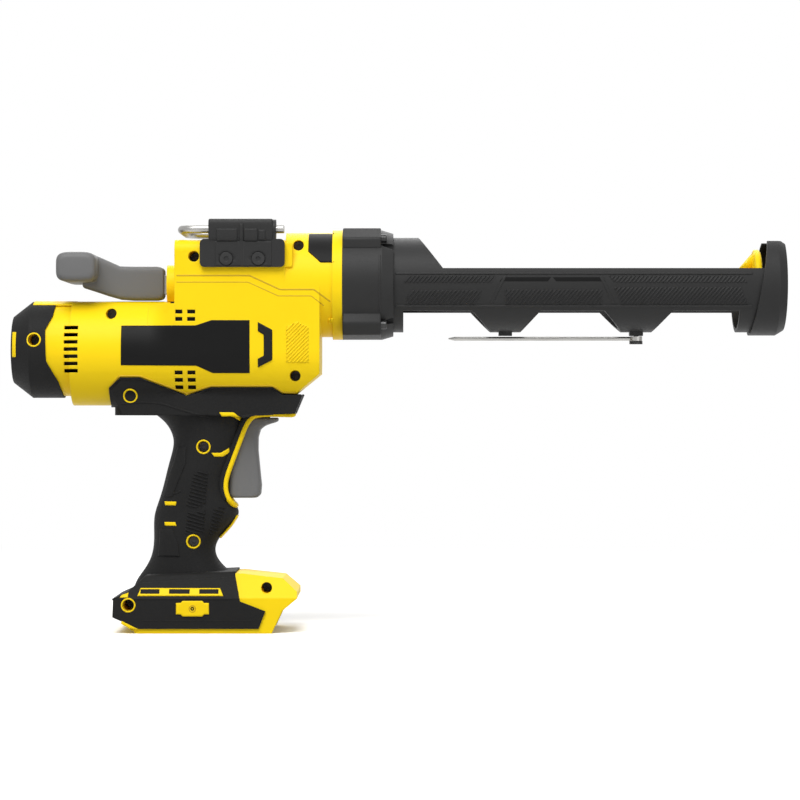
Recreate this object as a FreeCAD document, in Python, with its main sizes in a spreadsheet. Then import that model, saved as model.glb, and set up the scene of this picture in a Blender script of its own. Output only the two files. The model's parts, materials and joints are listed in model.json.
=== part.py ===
"""Cordless caulking tool: housing, cartridge cradle, plunger, trigger, motor and gear train, in millimetres.

X runs forward along the cradle, Y to the tool's left and Z up. The foot stands on Z = 0.
"""
import FreeCAD
import Part
import Sketcher
import math
import os

Vector = FreeCAD.Vector
FULL_TURN = 360
QUARTER_TURN = 90

# Driving dimensions, each written once
SIZES = {
    # Long axes of the tool
    "motor_axis_height": 175,
    "barrel_rise": 43.4,
    # Fits
    "overrun": 2,
    "seat_fit": 0.05,
    "running_fit": 0.05,
    "moving_gap": 0.4,
    # Housing
    "wall": 2.6,
    "skin": 1.2,
    "rear_rise": 2.3,
    "rear_radius": 29.3,
    "rear_face_radius": 20,
    "rear_end": -241,
    "rear_shoulder": -229,
    "motor_rear": -206,
    "motor_radius": 33,
    "upper_rear": -140,
    "saddle_front": -71,
    "saddle_rise": 27.4,
    "saddle_corner": 7,
    "body_front": -49.3,
    "nose_cut_length": 24,
    "nose_cut_height": 20,
    "neck_front": -41.6,
    "flange_front": -35.3,
    "flange_radius": 34.7,
    "front_wall": 10,
    "rear_boss_end": -146.5,
    "rear_boss_radius": 12.6,
    # Grip, between the foot and the motor section
    "grip_bottom": 22,
    "grip_overlap": 7.2,
    "grip_rear": -167,
    "grip_reach": 71,
    "grip_width": 38,
    "web_rear": -180,
    "web_front": -64,
    "web_width": 46,
    "web_drop": 39.2,
    # Foot with the battery bay
    "foot_rear": -178.2,
    "foot_length": 114.9,
    "foot_height": 36.9,
    "foot_width": 75,
    "foot_top_width": 50,
    "foot_shoulder": 22,
    "bay_rear": -161,
    "bay_width": 66,
    "bay_height": 15.6,
    "bay_ceiling": 2.6,
    "foot_room_front": -92,
    "foot_room_width": 58,
    "foot_room_height": 12.5,
    "rail_front": -84,
    "rail_depth": 4.5,
    "rail_bottom": 4.6,
    "rail_thickness": 3,
    # Rear bumper
    "bumper_thickness": 2.7,
    "bumper_front": -212,
    # Screws of the housing
    "screw_radius": 1.5,
    "screw_head_radius": 3.1,
    "screw_head_height": 2.4,
    "screw_socket_radius": 1.5,
    "screw_socket_depth": 1.2,
    "screw_seat": 10,
    "screw_reach": 12,
    "boss_wall": 1.6,
    "head_room": 0.3,
    # Vents
    "vent_height": 2.2,
    "vent_pitch": 4.5,
    "vent_rear": -209.5,
    "vent_length": 9,
    "grid_rear": -140,
    "grid_slot_length": 5,
    "grid_pitch": 8,
    "grid_slot_height": 2.4,
    "upper_grid_rise": 24.5,
    "lower_grid_drop": 13.5,
    "grid_row_pitch": 4.6,
    # Cradle with its collar and end ring
    "barrel_radius": 30,
    "barrel_wall": 2.5,
    "barrel_rear": -25,
    "barrel_front": 236,
    "sleeve_front": 12.5,
    "sleeve_slope": 15.3,
    "rail_top": 9.7,
    "rail_low": 16.9,
    "window_rear": 3,
    "first_saddle": 67.7,
    "saddle_spacing": 83,
    "saddle_length": 19,
    "saddle_flare": 12,
    "window_front": 214,
    "post_radius": 4.2,
    "post_bottom": 32.2,
    "collar_front": -3.3,
    "collar_end_radius": 32.6,
    "collar_slope": 7.1,
    "collar_screw_circle": 32.3,
    "collar_screw_radius": 1.3,
    "collar_head_radius": 2.1,
    "collar_head_height": 2,
    "collar_head_seat": 9.7,
    "collar_screw_grip": 7.5,
    "ring_radius": 32,
    "ring_front": 243.7,
    "ring_rear": 222,
    "ring_slant": 11,
    "ring_top": 27.3,
    "ring_front_wall": 5,
    "ring_front_radius": 29,
    "nozzle_slot_width": 28,
    # Plunger
    "rod_width": 10,
    "rod_height": 12,
    "rod_front": 214,
    "rod_tail": -166,
    "rack_start": -112,
    "rack_end": 150,
    "bush_radius": 11,
    "piston_radius": 23.5,
    "piston_disc": 219,
    "piston_front": 228.5,
    "piston_lip": 2.5,
    "piston_hub_radius": 10,
    "piston_rib": 2.4,
    "piston_bolt_radius": 2.4,
    "piston_bolt_length": 16,
    "piston_bolt_head": 5,
    "piston_bolt_head_height": 2.4,
    "handle_front": -148.5,
    "handle_neck_length": 66,
    "handle_low": 9.7,
    "handle_neck_height": 21.2,
    "handle_neck_width": 17,
    "handle_bar_span": 62,
    "handle_bar_length": 25,
    "handle_bar_height": 18,
    "handle_bar_rise": 1.8,
    "handle_round": 3,
    "handle_pin_radius": 2,
    "handle_pin_place": -158,
    # Trigger and switch
    "trigger_pivot_x": -86,
    "pivot_drop": 34,
    "trigger_width": 17,
    "trigger_depth": 31,
    "trigger_drop": 57,
    "trigger_ear_width": 10,
    "trigger_ear_radius": 4.4,
    "trigger_pin_radius": 2,
    "trigger_pin_length": 27,
    "trigger_round": 2.2,
    "switch_length": 18,
    "switch_width": 17,
    "switch_height": 23,
    "switch_gap": 11,
    "switch_drop": 89,
    "plunger_size": 5,
    "plunger_drop": 41,
    "plunger_hold": 4,
    "plunger_travel": 7.3,
    "rib_thickness": 3,
    # Electrics in the foot
    "board_length": 60,
    "board_width": 50,
    "board_thickness": 1.6,
    "board_rear": -156,
    "block_length": 38,
    "block_width": 34,
    "block_drop": 6,
    "block_flange": 2.5,
    "block_rear": -150,
    "block_top": 5,
    "blade_length": 22,
    "blade_height": 5,
    "blade_thickness": 0.9,
    "blade_pitch": 6.5,
    # Speed dial at the rear
    "dial_rise": 2,
    "dial_radius": 7.2,
    "dial_thickness": 2.2,
    "dial_shaft_radius": 2,
    "dial_unit_depth": 4.2,
    "dial_unit_size": 13,
    # Motor
    "motor_can_radius": 19,
    "motor_can_wall": 1.6,
    "motor_can_rear": -211,
    "motor_can_front": -160,
    "motor_face": 3,
    "motor_lip": 1,
    "motor_nose_radius": 8,
    "motor_nose_length": 3.4,
    "motor_shaft_radius": 2,
    "motor_shaft_rear": -222,
    "motor_bearing_radius": 5.5,
    "motor_bearing_length": 4.5,
    "rotor_radius": 13,
    "rotor_rear": -202,
    "rotor_front": -168,
    "magnet_gap": 0.6,
    "end_cap_length": 5.5,
    "fan_radius": 18,
    "fan_hub_radius": 5,
    "fan_length": 4.8,
    "fan_plate": 1.4,
    "fan_blade": 1.5,
    # Planetary stage
    "gearbox_rear": -160,
    "gearbox_front": -121,
    "gearbox_face": 4,
    "gear_room_front": -131,
    "carrier_bearing_radius": 9,
    "carrier_bearing_length": 8,
    "planet_module": 0.8,
    "stage_rear": -155,
    "stage_length": 11,
    "ring_gear_rim": 3,
    "carrier_gap": 0.8,
    "carrier_plate": 4,
    "carrier_radius": 17,
    "carrier_shaft_radius": 4.5,
    "planet_pin_radius": 1.8,
    # Right-angle stage and drive shaft
    "cross_x": -86,
    "bevel_module": 1.2,
    "bevel_face": 4.2,
    "bevel_hub": 3.2,
    "bevel_back": 2.6,
    "cross_shaft_radius": 3.5,
    "spur_module": 1.25,
    "spur_start": 14,
    "spur_face": 8,
    "shaft_right": -20,
    "shaft_left": 28,
    "shaft_bearing_radius": 6.5,
    "shaft_bearing_length": 5,
    "bearing_boss_wall": 2.4,
    "drive_shaft_radius": 4,
    "rack_module": 1.5,
    "clutch_start": 7.4,
    "clutch_length": 5.8,
    "clutch_radius": 7,
    # Hook on its bracket
    "bracket_rear": -124,
    "bracket_length": 53,
    "bracket_over": 0.2,
    "bracket_height": 17.5,
    "bracket_thickness": 3,
    "bracket_corner": 3,
    "bracket_screw_spacing": 20,
    "bracket_screw_radius": 1.6,
    "bracket_head_radius": 4,
    "bracket_head_height": 2.2,
    "bracket_screw_length": 9,
    "hinge_radius": 6,
    "hinge_rise": 6.5,
    "hinge_inset": 5.4,
    "hinge_length": 42,
    "hook_wire_radius": 2.6,
    "hook_front": -76,
    "hook_rear": -136,
    "hook_bend": 10,
    "hook_span": 66.7,
    "hook_return": 46,
    # Piercing wire under the cradle
    "pierce_radius": 1.25,
    "pierce_length": 119,
    "pierce_taper": 4,
    "pierce_tip_radius": 0.4,
    "pierce_drop": 34,
    "pierce_eye_radius": 4,
    "pierce_eye_height": 2.9,
    "pierce_screw_radius": 1.6,
    "pierce_head_radius": 4.2,
    "pierce_head_height": 2,
}

# Heights tied to the motor's axis, so that the pieces keep together when it moves
TIED_SIZES = {
    "barrel_axis_height": "=motor_axis_height + barrel_rise",
    "rear_axis_height": "=motor_axis_height + rear_rise",
    "dial_height": "=rear_axis_height + dial_rise",
    "web_bottom": "=motor_axis_height - web_drop",
    "grip_height": "=web_bottom + grip_overlap - grip_bottom",
    "upper_grid_height": "=motor_axis_height + upper_grid_rise",
    "lower_grid_height": "=motor_axis_height - lower_grid_drop",
    "trigger_pivot_height": "=motor_axis_height - pivot_drop",
    "switch_height_low": "=motor_axis_height - switch_drop",
}

# Numbers of teeth, blades and like counts
SUN_TEETH = 12
PLANET_TEETH = 18
RING_TEETH = 48
PLANETS = 3
BEVEL_PINION_TEETH = 14
BEVEL_GEAR_TEETH = 28
SPUR_PINION_TEETH = 18
DRIVE_GEAR_TEETH = 30
RACK_PINION_TEETH = 12
REAR_VENTS = 7
COLLAR_SCREWS = 4
PISTON_RIBS = 8
FAN_BLADES = 9
BLADES = 4

# Tooth shape, as shares of the module or of the pitch
ADDENDUM_SHARE = 0.92
DEDENDUM_SHARE = 1.2
BACKLASH_SHARE = 0.08
BEVEL_BACKLASH_SHARE = 0.24
PRESSURE_ANGLE = 20
# Half a step of a circle of screws or teeth
HALF_STEP_SHARE = 0.5

doc = FreeCAD.newDocument("caulking_tool")
sheet = doc.addObject("Spreadsheet::Sheet", "Sizes")
for row, (alias, entry) in enumerate([*SIZES.items(), *TIED_SIZES.items()], start=1):
    sheet.set(f"A{row}", alias)
    sheet.set(f"B{row}", str(entry))
    sheet.setAlias(f"B{row}", alias)
doc.recompute()


class Size:
    """A length that carries both its value and the sheet formula it comes from."""

    def __init__(self, value, formula):
        self.value = float(value)
        self.formula = formula

    def __float__(self):
        return self.value

    def __neg__(self):
        return Size(-self.value, f"(0 - {self.formula})")

    def __add__(self, other):
        return Size(self.value + float(other), f"({self.formula} + {formula_of(other)})")

    def __radd__(self, other):
        return Size(float(other) + self.value, f"({formula_of(other)} + {self.formula})")

    def __sub__(self, other):
        return Size(self.value - float(other), f"({self.formula} - {formula_of(other)})")

    def __rsub__(self, other):
        return Size(float(other) - self.value, f"({formula_of(other)} - {self.formula})")

    def __mul__(self, other):
        return Size(self.value * float(other), f"({self.formula} * {formula_of(other)})")

    def __rmul__(self, other):
        return self * other

    def __truediv__(self, other):
        return Size(self.value / float(other), f"({self.formula} / {formula_of(other)})")


def formula_of(value):
    """The text that stands for a value in a formula of the sheet."""
    return value.formula if isinstance(value, Size) else f"{float(value):.9g}"


class Sizes:
    """Reads each named size from the sheet as a Size."""

    def __getattr__(self, alias):
        return Size(getattr(sheet, alias), f"Sizes.{alias}")


d = Sizes()
parts = []


# Plain shapes

def span_box(x, y, z):
    """Box between two places along each axis."""
    lengths = [float(end) - float(start) for start, end in (x, y, z)]
    return Part.makeBox(*lengths, Vector(x[0], y[0], z[0]))


def rod_x(start, end, radius, z, y=0):
    """Cylinder along X between two places."""
    return Part.makeCylinder(radius, float(end) - float(start), Vector(start, y, z), Vector(1, 0, 0))


def rod_y(start, end, radius, x, z):
    """Cylinder along Y between two places."""
    return Part.makeCylinder(radius, float(end) - float(start), Vector(x, start, z), Vector(0, 1, 0))


def rod_z(start, end, radius, x, y=0):
    """Cylinder along Z between two places."""
    return Part.makeCylinder(radius, float(end) - float(start), Vector(x, y, start), Vector(0, 0, 1))


def side_slab(outline, start, end):
    """Outline of (x, z) corners carried along Y between two places."""
    corners = [Vector(x, start, z) for x, z in outline]
    face = Part.Face(Part.makePolygon(corners + corners[:1]))
    return face.extrude(Vector(0, float(end) - float(start), 0))


def end_slab(outline, start, end):
    """Outline of (y, z) corners carried along X between two places."""
    corners = [Vector(start, y, z) for y, z in outline]
    face = Part.Face(Part.makePolygon(corners + corners[:1]))
    return face.extrude(Vector(float(end) - float(start), 0, 0))


def turned_x(profile, z):
    """Profile of (x, radius) corners turned round an axis along X at height z."""
    corners = [Vector(x, 0, float(z) + float(radius)) for x, radius in profile]
    face = Part.Face(Part.makePolygon(corners + corners[:1]))
    return face.revolve(Vector(0, 0, z), Vector(1, 0, 0), FULL_TURN)


def fused(shapes):
    """One solid from overlapping or touching shapes."""
    return shapes[0].multiFuse(shapes[1:]).removeSplitter()


def feature(label, shape):
    """Sub-part whose shape is worked out above from the sheet's sizes."""
    part = doc.addObject("Part::Feature", label)
    part.Label = label
    part.Shape = shape
    part.Placement = FreeCAD.Placement()
    parts.append(part)
    return part


# Bodies made from sketches

def bind(thing, place, size):
    """Ties one property of a document object to the sheet."""
    thing.setExpression(place, formula_of(size))


def origin_plane(body, role):
    """The body's own origin plane with this role."""
    return next(item for item in body.Origin.OriginFeatures if item.Role == role)


def sketch(body, name, role, outline):
    """Closed outline on one of the body's origin planes, each corner tied to the sheet."""
    drawing = body.newObject("Sketcher::SketchObject", name)
    drawing.AttachmentSupport = [(origin_plane(body, role), "")]
    drawing.MapMode = "FlatFace"
    corners = [Vector(u, v, 0) for u, v in outline]
    count = len(corners)
    for index in range(count):
        drawing.addGeometry(Part.LineSegment(corners[index], corners[(index + 1) % count]), False)
    for index, (u, v) in enumerate(outline):
        drawing.addConstraint(Sketcher.Constraint("Coincident", index, 2, (index + 1) % count, 1))
        for kind, place in (("DistanceX", u), ("DistanceY", v)):
            number = drawing.addConstraint(Sketcher.Constraint(kind, -1, 1, index, 1, float(place)))
            bind(drawing, f"Constraints[{number}]", place)
    return drawing


AXIS_TURNS = {
    "X": FreeCAD.Rotation(),
    "Y": FreeCAD.Rotation(Vector(0, 0, 1), QUARTER_TURN),
    "Z": FreeCAD.Rotation(Vector(0, 1, 0), -QUARTER_TURN),
}


def new_body(label, place, axis="X", blank=False):
    """Empty body at a place of the sheet, its own X axis along the given axis; a blank is no sub-part."""
    body = doc.addObject("PartDesign::Body", label)
    body.Label = label
    body.Placement = FreeCAD.Placement(Vector(*place), AXIS_TURNS[axis])
    for letter, value in zip("xyz", place):
        bind(body, f"Placement.Base.{letter}", value)
    if not blank:
        parts.append(body)
    return body


def turn(body, outline, name="turn"):
    """Turns an outline of (length, radius) round the body's X axis."""
    profile = sketch(body, f"{body.Label}_{name}_profile", "XZ_Plane", outline)
    solid = body.newObject("PartDesign::Revolution", f"{body.Label}_{name}")
    solid.Profile = profile
    solid.ReferenceAxis = (profile, ["H_Axis"])
    solid.Angle = FULL_TURN
    return solid


def pad(body, outline, thickness, name="pad", role="XZ_Plane"):
    """Carries an outline to both sides of its plane."""
    solid = body.newObject("PartDesign::Pad", f"{body.Label}_{name}")
    solid.Profile = sketch(body, f"{body.Label}_{name}_outline", role, outline)
    solid.Midplane = True
    bind(solid, "Length", thickness)
    return solid


def pocket(body, outline, name, role="XZ_Plane"):
    """Cuts an outline right through the body, to both sides of its plane."""
    doc.recompute()
    before = body.Shape.Volume
    hollow = body.newObject("PartDesign::Pocket", f"{body.Label}_{name}")
    hollow.Profile = sketch(body, f"{body.Label}_{name}_outline", role, outline)
    hollow.Type = 1
    hollow.Midplane = True
    doc.recompute()
    if body.Shape.Volume >= before:
        raise ValueError(f"{body.Label}: {name} cuts nothing")
    return hollow


def bore(body, u, v, radius, name, role="XZ_Plane"):
    """Cuts a round hole right through the body."""
    drawing = body.newObject("Sketcher::SketchObject", f"{body.Label}_{name}_circle")
    drawing.AttachmentSupport = [(origin_plane(body, role), "")]
    drawing.MapMode = "FlatFace"
    drawing.addGeometry(Part.Circle(Vector(u, v, 0), Vector(0, 0, 1), float(radius)), False)
    number = drawing.addConstraint(Sketcher.Constraint("Radius", 0, float(radius)))
    bind(drawing, f"Constraints[{number}]", radius)
    for kind, place in (("DistanceX", u), ("DistanceY", v)):
        number = drawing.addConstraint(Sketcher.Constraint(kind, -1, 1, 0, 3, float(place)))
        bind(drawing, f"Constraints[{number}]", place)
    hole = body.newObject("PartDesign::Pocket", f"{body.Label}_{name}")
    hole.Profile = drawing
    hole.Type = 1
    hole.Midplane = True
    return hole


def repeat(body, made, count, axis_role="X_Axis"):
    """Repeats a feature round one of the body's origin axes."""
    pattern = body.newObject("PartDesign::PolarPattern", f"{made.Name}_pattern")
    pattern.Originals = [made]
    pattern.Axis = (origin_plane(body, axis_role), [""])
    pattern.Angle = FULL_TURN
    pattern.Occurrences = count
    body.Tip = pattern
    return pattern


def round_edges(body, radius, chosen):
    """Rounds the edges of a body that the test chooses."""
    doc.recompute()
    base = body.Tip
    names = [f"Edge{number}" for number, edge in enumerate(base.Shape.Edges, start=1) if chosen(edge)]
    rounding = body.newObject("PartDesign::Fillet", f"{body.Label}_round")
    rounding.Base = (base, names)
    bind(rounding, "Radius", radius)
    return rounding


def turned_body(label, place, outline, axis="X"):
    """Body made by one turned outline."""
    body = new_body(label, place, axis)
    turn(body, outline)
    return body


def ring_outline(start, end, inner, outer):
    """Outline of a plain ring or tube for turning."""
    return [(start, inner), (end, inner), (end, outer), (start, outer)]


def bound_box(label, place, lengths):
    """Plain block with its place and lengths tied to the sheet."""
    block = doc.addObject("Part::Box", label)
    block.Label = label
    for side, length in zip(("Length", "Width", "Height"), lengths):
        bind(block, side, length)
    for letter, value in zip("xyz", place):
        bind(block, f"Placement.Base.{letter}", value)
    parts.append(block)
    return block


# Housing form

# Sections of the grip from the foot up: shares of its height, of its reach (back and front) and of its width
GRIP_SECTION_SHARES = (
    (0.000, 0.000, 0.986, 1.00), (0.132, 0.077, 0.830, 0.93), (0.207, 0.144, 0.725, 0.90),
    (0.331, 0.166, 0.796, 0.92), (0.471, 0.197, 0.901, 0.95), (0.579, 0.254, 0.824, 0.97),
    (0.678, 0.296, 0.862, 0.97), (0.777, 0.338, 0.923, 0.97), (0.876, 0.300, 0.986, 1.00),
    (0.930, 0.215, 1.000, 1.02), (0.968, 0.115, 1.015, 1.03), (1.000, 0.040, 1.028, 1.05),
)
# Side view of the foot: shares of its length and height
FOOT_SHARES = (
    (0.078, 0.667), (0.003, 0.566), (0.000, 0.274), (0.082, 0.163), (0.125, 0.000), (0.863, 0.000),
    (0.921, 0.385), (1.000, 0.588), (1.000, 0.700), (0.921, 0.921), (0.692, 1.000), (0.176, 0.935),
)
# Side view of the rubber on the grip: shares of the web's length and the grip's height
OVERMOULD_SHARES = (
    (-0.040, 0.942), (-0.013, 0.992), (-0.013, 1.083), (0.052, 1.137), (0.155, 1.137), (0.405, 1.045),
    (0.537, 1.086), (0.871, 1.086), (0.922, 1.053), (1.046, 1.050), (0.996, 0.965), (0.780, 0.974),
    (0.728, 0.946), (0.698, 0.905), (0.591, 0.624), (0.586, 0.558), (0.608, 0.508), (0.690, 0.450),
    (0.776, 0.314), (0.776, 0.000), (-0.043, 0.000), (-0.043, 0.479),
)
# Side view of the rubber on the foot: shares of the foot's length and height
FOOT_PANEL_SHARES = (
    (0.106, 0.840), (0.663, 0.949), (0.692, 0.542), (0.829, 0.377), (0.792, 0.081), (0.115, 0.081),
    (-0.016, 0.244), (-0.016, 0.596),
)
# Front edge of the rear bumper: shares of the rear's length and of the rear's radius
BUMPER_EDGE_SHARES = (
    (0.000, -1.200), (0.960, -1.200), (0.860, -0.700), (0.660, -0.250), (0.640, 0.420), (0.760, 0.720),
    (0.800, 1.200), (0.000, 1.200),
)
# Places of the housing's screws: x and height as shares of the motor section's rear and axis height
SCREW_PLACE_SHARES = (
    (0.621, 1.344), (0.305, 1.386), (0.314, 0.918), (0.876, 1.141), (1.108, 1.047),
    (0.817, 0.846), (0.596, 0.663), (0.627, 0.322), (0.400, 0.161), (0.817, 0.101),
)
SCREW_PLACES = [(d.motor_rear * along, d.motor_axis_height * up) for along, up in SCREW_PLACE_SHARES]

# Back of the trigger behind its pivot, as a share of its depth, and its pull in degrees
TRIGGER_REAR_SHARE = 0.71
TRIGGER_PULL = 9

rear_length = d.motor_rear - d.rear_end
trigger_back = d.trigger_pivot_x - d.trigger_depth * TRIGGER_REAR_SHARE
web_length = d.web_front - d.web_rear
saddle_height = d.barrel_axis_height + d.saddle_rise
bracket_high = saddle_height + d.bracket_over
bracket_low = bracket_high - d.bracket_height
hinge_height = saddle_height + d.hinge_rise
rod_low = d.barrel_axis_height - d.rod_height / 2
boss_radius = d.screw_head_radius + d.head_room + d.boss_wall
far_right = -(d.foot_width + d.overrun)
far_left = d.foot_width + d.overrun
whole_length = (d.rear_end * 2, -d.rear_end * 2)
whole_height = (-d.overrun, d.barrel_axis_height * 2)
right_space = span_box(whole_length, (far_right, 0), whole_height)
left_space = span_box(whole_length, (0, far_left), whole_height)


def laid_out(shares, x, z, length, height):
    """Corners at shares of a length and a height from one place."""
    return [(x + length * along, z + height * up) for along, up in shares]


def tombstone(half, low, top, corner, start, end):
    """Solid along X: half circle below, straight sides, and a top with round corners."""
    half, low, top, corner = (float(value) for value in (half, low, top, corner))
    bend = corner * (1 - math.cos(math.pi / 4))
    x = float(start)
    edges = [
        Part.Arc(Vector(x, -half, low), Vector(x, 0, low - half), Vector(x, half, low)).toShape(),
        Part.makeLine(Vector(x, half, low), Vector(x, half, top - corner)),
        Part.Arc(Vector(x, half, top - corner), Vector(x, half - bend, top - bend),
                 Vector(x, half - corner, top)).toShape(),
        Part.Arc(Vector(x, corner - half, top), Vector(x, bend - half, top - bend),
                 Vector(x, -half, top - corner)).toShape(),
        Part.makeLine(Vector(x, -half, top - corner), Vector(x, -half, low)),
    ]
    if corner < half:
        edges.insert(3, Part.makeLine(Vector(x, half - corner, top), Vector(x, corner - half, top)))
    return Part.Face(Part.Wire(edges)).extrude(Vector(float(end) - x, 0, 0))


def oval(x, half_length, half_width, height):
    """Level oval with its long side along X."""
    return Part.Wire(Part.Ellipse(Vector(x, 0, height), float(half_length), float(half_width)).toShape())


def grip_loft(grow):
    """Grip as ovals carried up between its back and front lines."""
    ovals = []
    for up, back, front, width in GRIP_SECTION_SHARES:
        middle = d.grip_rear + d.grip_reach * (back + front) / 2
        half_length = d.grip_reach * (front - back) / 2 - d.skin + grow
        ovals.append(oval(middle, half_length, d.grip_width * width / 2 - d.skin + grow,
                          d.grip_bottom + d.grip_height * up))
    return Part.makeLoft(ovals, True, False)


def grip_web(grow):
    """Web between the grip and the motor section."""
    face = Part.Face(oval((d.web_rear + d.web_front) / 2, web_length / 2 - d.skin + grow,
                          d.web_width / 2 - d.skin + grow, d.web_bottom + d.skin - grow))
    return face.extrude(Vector(0, 0, d.motor_axis_height - d.web_bottom - d.skin + grow))


def rear_form(grow, thickness, end):
    """Tapered end of the motor section."""
    return turned_x([
        (d.rear_end - thickness, 0), (d.rear_end - thickness, d.rear_face_radius + grow),
        (d.rear_shoulder - thickness, d.rear_radius + grow), (end, d.rear_radius + grow), (end, 0),
    ], d.rear_axis_height)


def body_form(grow):
    """Closed form of motor section, upper body and grip, each face moved outward by grow."""
    half = d.motor_radius + grow
    seam = d.upper_rear - grow
    step = d.saddle_front - grow
    front = d.body_front + grow
    bottom = d.motor_axis_height - half
    form = fused([
        rear_form(grow, grow, d.motor_rear + d.overrun - grow),
        rod_x(d.motor_rear - grow, seam, half, d.motor_axis_height),
        tombstone(half, d.motor_axis_height, saddle_height + grow, d.saddle_corner, seam, step),
        tombstone(half, d.motor_axis_height, d.barrel_axis_height + half, half, step, front),
    ])
    nose_cut = side_slab([
        (front - d.nose_cut_length, bottom - d.overrun), (front - d.nose_cut_length, bottom),
        (front, bottom + d.nose_cut_height), (front + d.overrun, bottom + d.nose_cut_height),
        (front + d.overrun, bottom - d.overrun),
    ], far_right, far_left)
    return fused([form.cut(nose_cut), grip_web(grow), grip_loft(grow)])


def foot_form(grow):
    """Foot from its side view and its end view, with its sides moved outward by grow."""
    outline = laid_out(FOOT_SHARES, d.foot_rear, 0, d.foot_length, d.foot_height)
    side = side_slab(outline, far_right, far_left)
    half = d.foot_width / 2 + grow
    top_half = d.foot_top_width / 2 + grow
    top = d.foot_height + d.overrun
    end = end_slab([
        (-half, -d.overrun), (half, -d.overrun), (half, d.foot_shoulder), (top_half, top), (-top_half, top),
        (-half, d.foot_shoulder),
    ], d.foot_rear - d.overrun, d.foot_rear + d.foot_length + d.overrun)
    return side.common(end)


def screw_bosses(side):
    """Bosses round the housing's screws on one side, as long as the housing is wide."""
    return [rod_y(*outward(side, 0, far_left), boss_radius, x, z) for x, z in SCREW_PLACES]


outer_body = body_form(0)
outer_foot = foot_form(0)
skin_body = body_form(d.skin)
skin_foot = foot_form(d.skin)
inner_body = body_form(-d.wall)

# Neck, flange and rear boss carry the plunger's bushes
neck = rod_x(d.body_front - d.wall, d.neck_front, d.motor_radius, d.barrel_axis_height)
flange = rod_x(d.neck_front, d.flange_front, d.flange_radius, d.barrel_axis_height)
rear_boss = rod_x(d.rear_boss_end, d.upper_rear + d.wall, d.rear_boss_radius, d.barrel_axis_height)
housing_form = fused([outer_body, outer_foot, neck, flange, rear_boss])

foot_room = span_box((d.board_rear - d.overrun, d.foot_room_front),
                     (-d.foot_room_width / 2, d.foot_room_width / 2),
                     (d.bay_height + d.bay_ceiling, d.bay_height + d.bay_ceiling + d.foot_room_height))
bay = span_box((d.bay_rear, d.foot_rear + d.foot_length + d.overrun), (-d.bay_width / 2, d.bay_width / 2),
               (-d.overrun, d.bay_height))
block_half = d.block_width / 2 + d.seat_fit
block_slot = span_box((d.block_rear - d.seat_fit, d.block_rear + d.block_length + d.seat_fit),
                      (-block_half, block_half), (0, d.bay_height + d.bay_ceiling + d.overrun))
trigger_half = d.trigger_width / 2 + d.moving_gap
trigger_swing = d.trigger_drop * math.sin(math.radians(TRIGGER_PULL))
trigger_slot = span_box((trigger_back - trigger_swing - d.moving_gap * 2, d.web_front - d.overrun),
                        (-trigger_half, trigger_half),
                        (d.trigger_pivot_height - d.trigger_drop - d.moving_gap * 2,
                         d.motor_axis_height - d.motor_radius))
bush_bore = rod_x(d.rear_boss_end - d.overrun, d.flange_front + d.overrun, d.bush_radius + d.seat_fit,
                  d.barrel_axis_height)
dial_bore = rod_x(d.rear_end - d.overrun, d.rear_end + d.wall + d.overrun,
                  d.dial_shaft_radius + d.running_fit, d.dial_height)


def vent_cuts():
    """Slots at the motor's rear and two blocks of slots beside the gearbox, through both sides."""
    cuts = []
    for number in range(REAR_VENTS):
        middle = d.rear_axis_height + d.vent_pitch * (number - (REAR_VENTS - 1) / 2)
        cuts.append(span_box((d.vent_rear, d.vent_rear + d.vent_length), (far_right, far_left),
                             (middle - d.vent_height / 2, middle + d.vent_height / 2)))
    for low, rows in ((d.upper_grid_height, 2), (d.lower_grid_height, 3)):
        for row in range(rows):
            for column in range(2):
                start = d.grid_rear + d.grid_pitch * column
                base = low - d.grid_row_pitch * row
                cuts.append(span_box((start, start + d.grid_slot_length), (far_right, far_left),
                                     (base, base + d.grid_slot_height)))
    return cuts


def bearing_places():
    """The two cross shafts' places: x and height."""
    drive_height = d.motor_axis_height + d.spur_module * (SPUR_PINION_TEETH + DRIVE_GEAR_TEETH) / 2
    return [(d.cross_x, d.motor_axis_height), (d.cross_x, drive_height)]


def outward(side, near, far):
    """Span along Y on one side of the middle, from a near place to a far one."""
    return sorted((side * float(near), side * float(far)))


def bearing_span(side):
    """Inner and outer end of the cross shafts' bearings on one side, from the middle."""
    outer = -d.shaft_right if side < 0 else d.shaft_left
    return outer - d.shaft_bearing_length, outer


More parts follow.
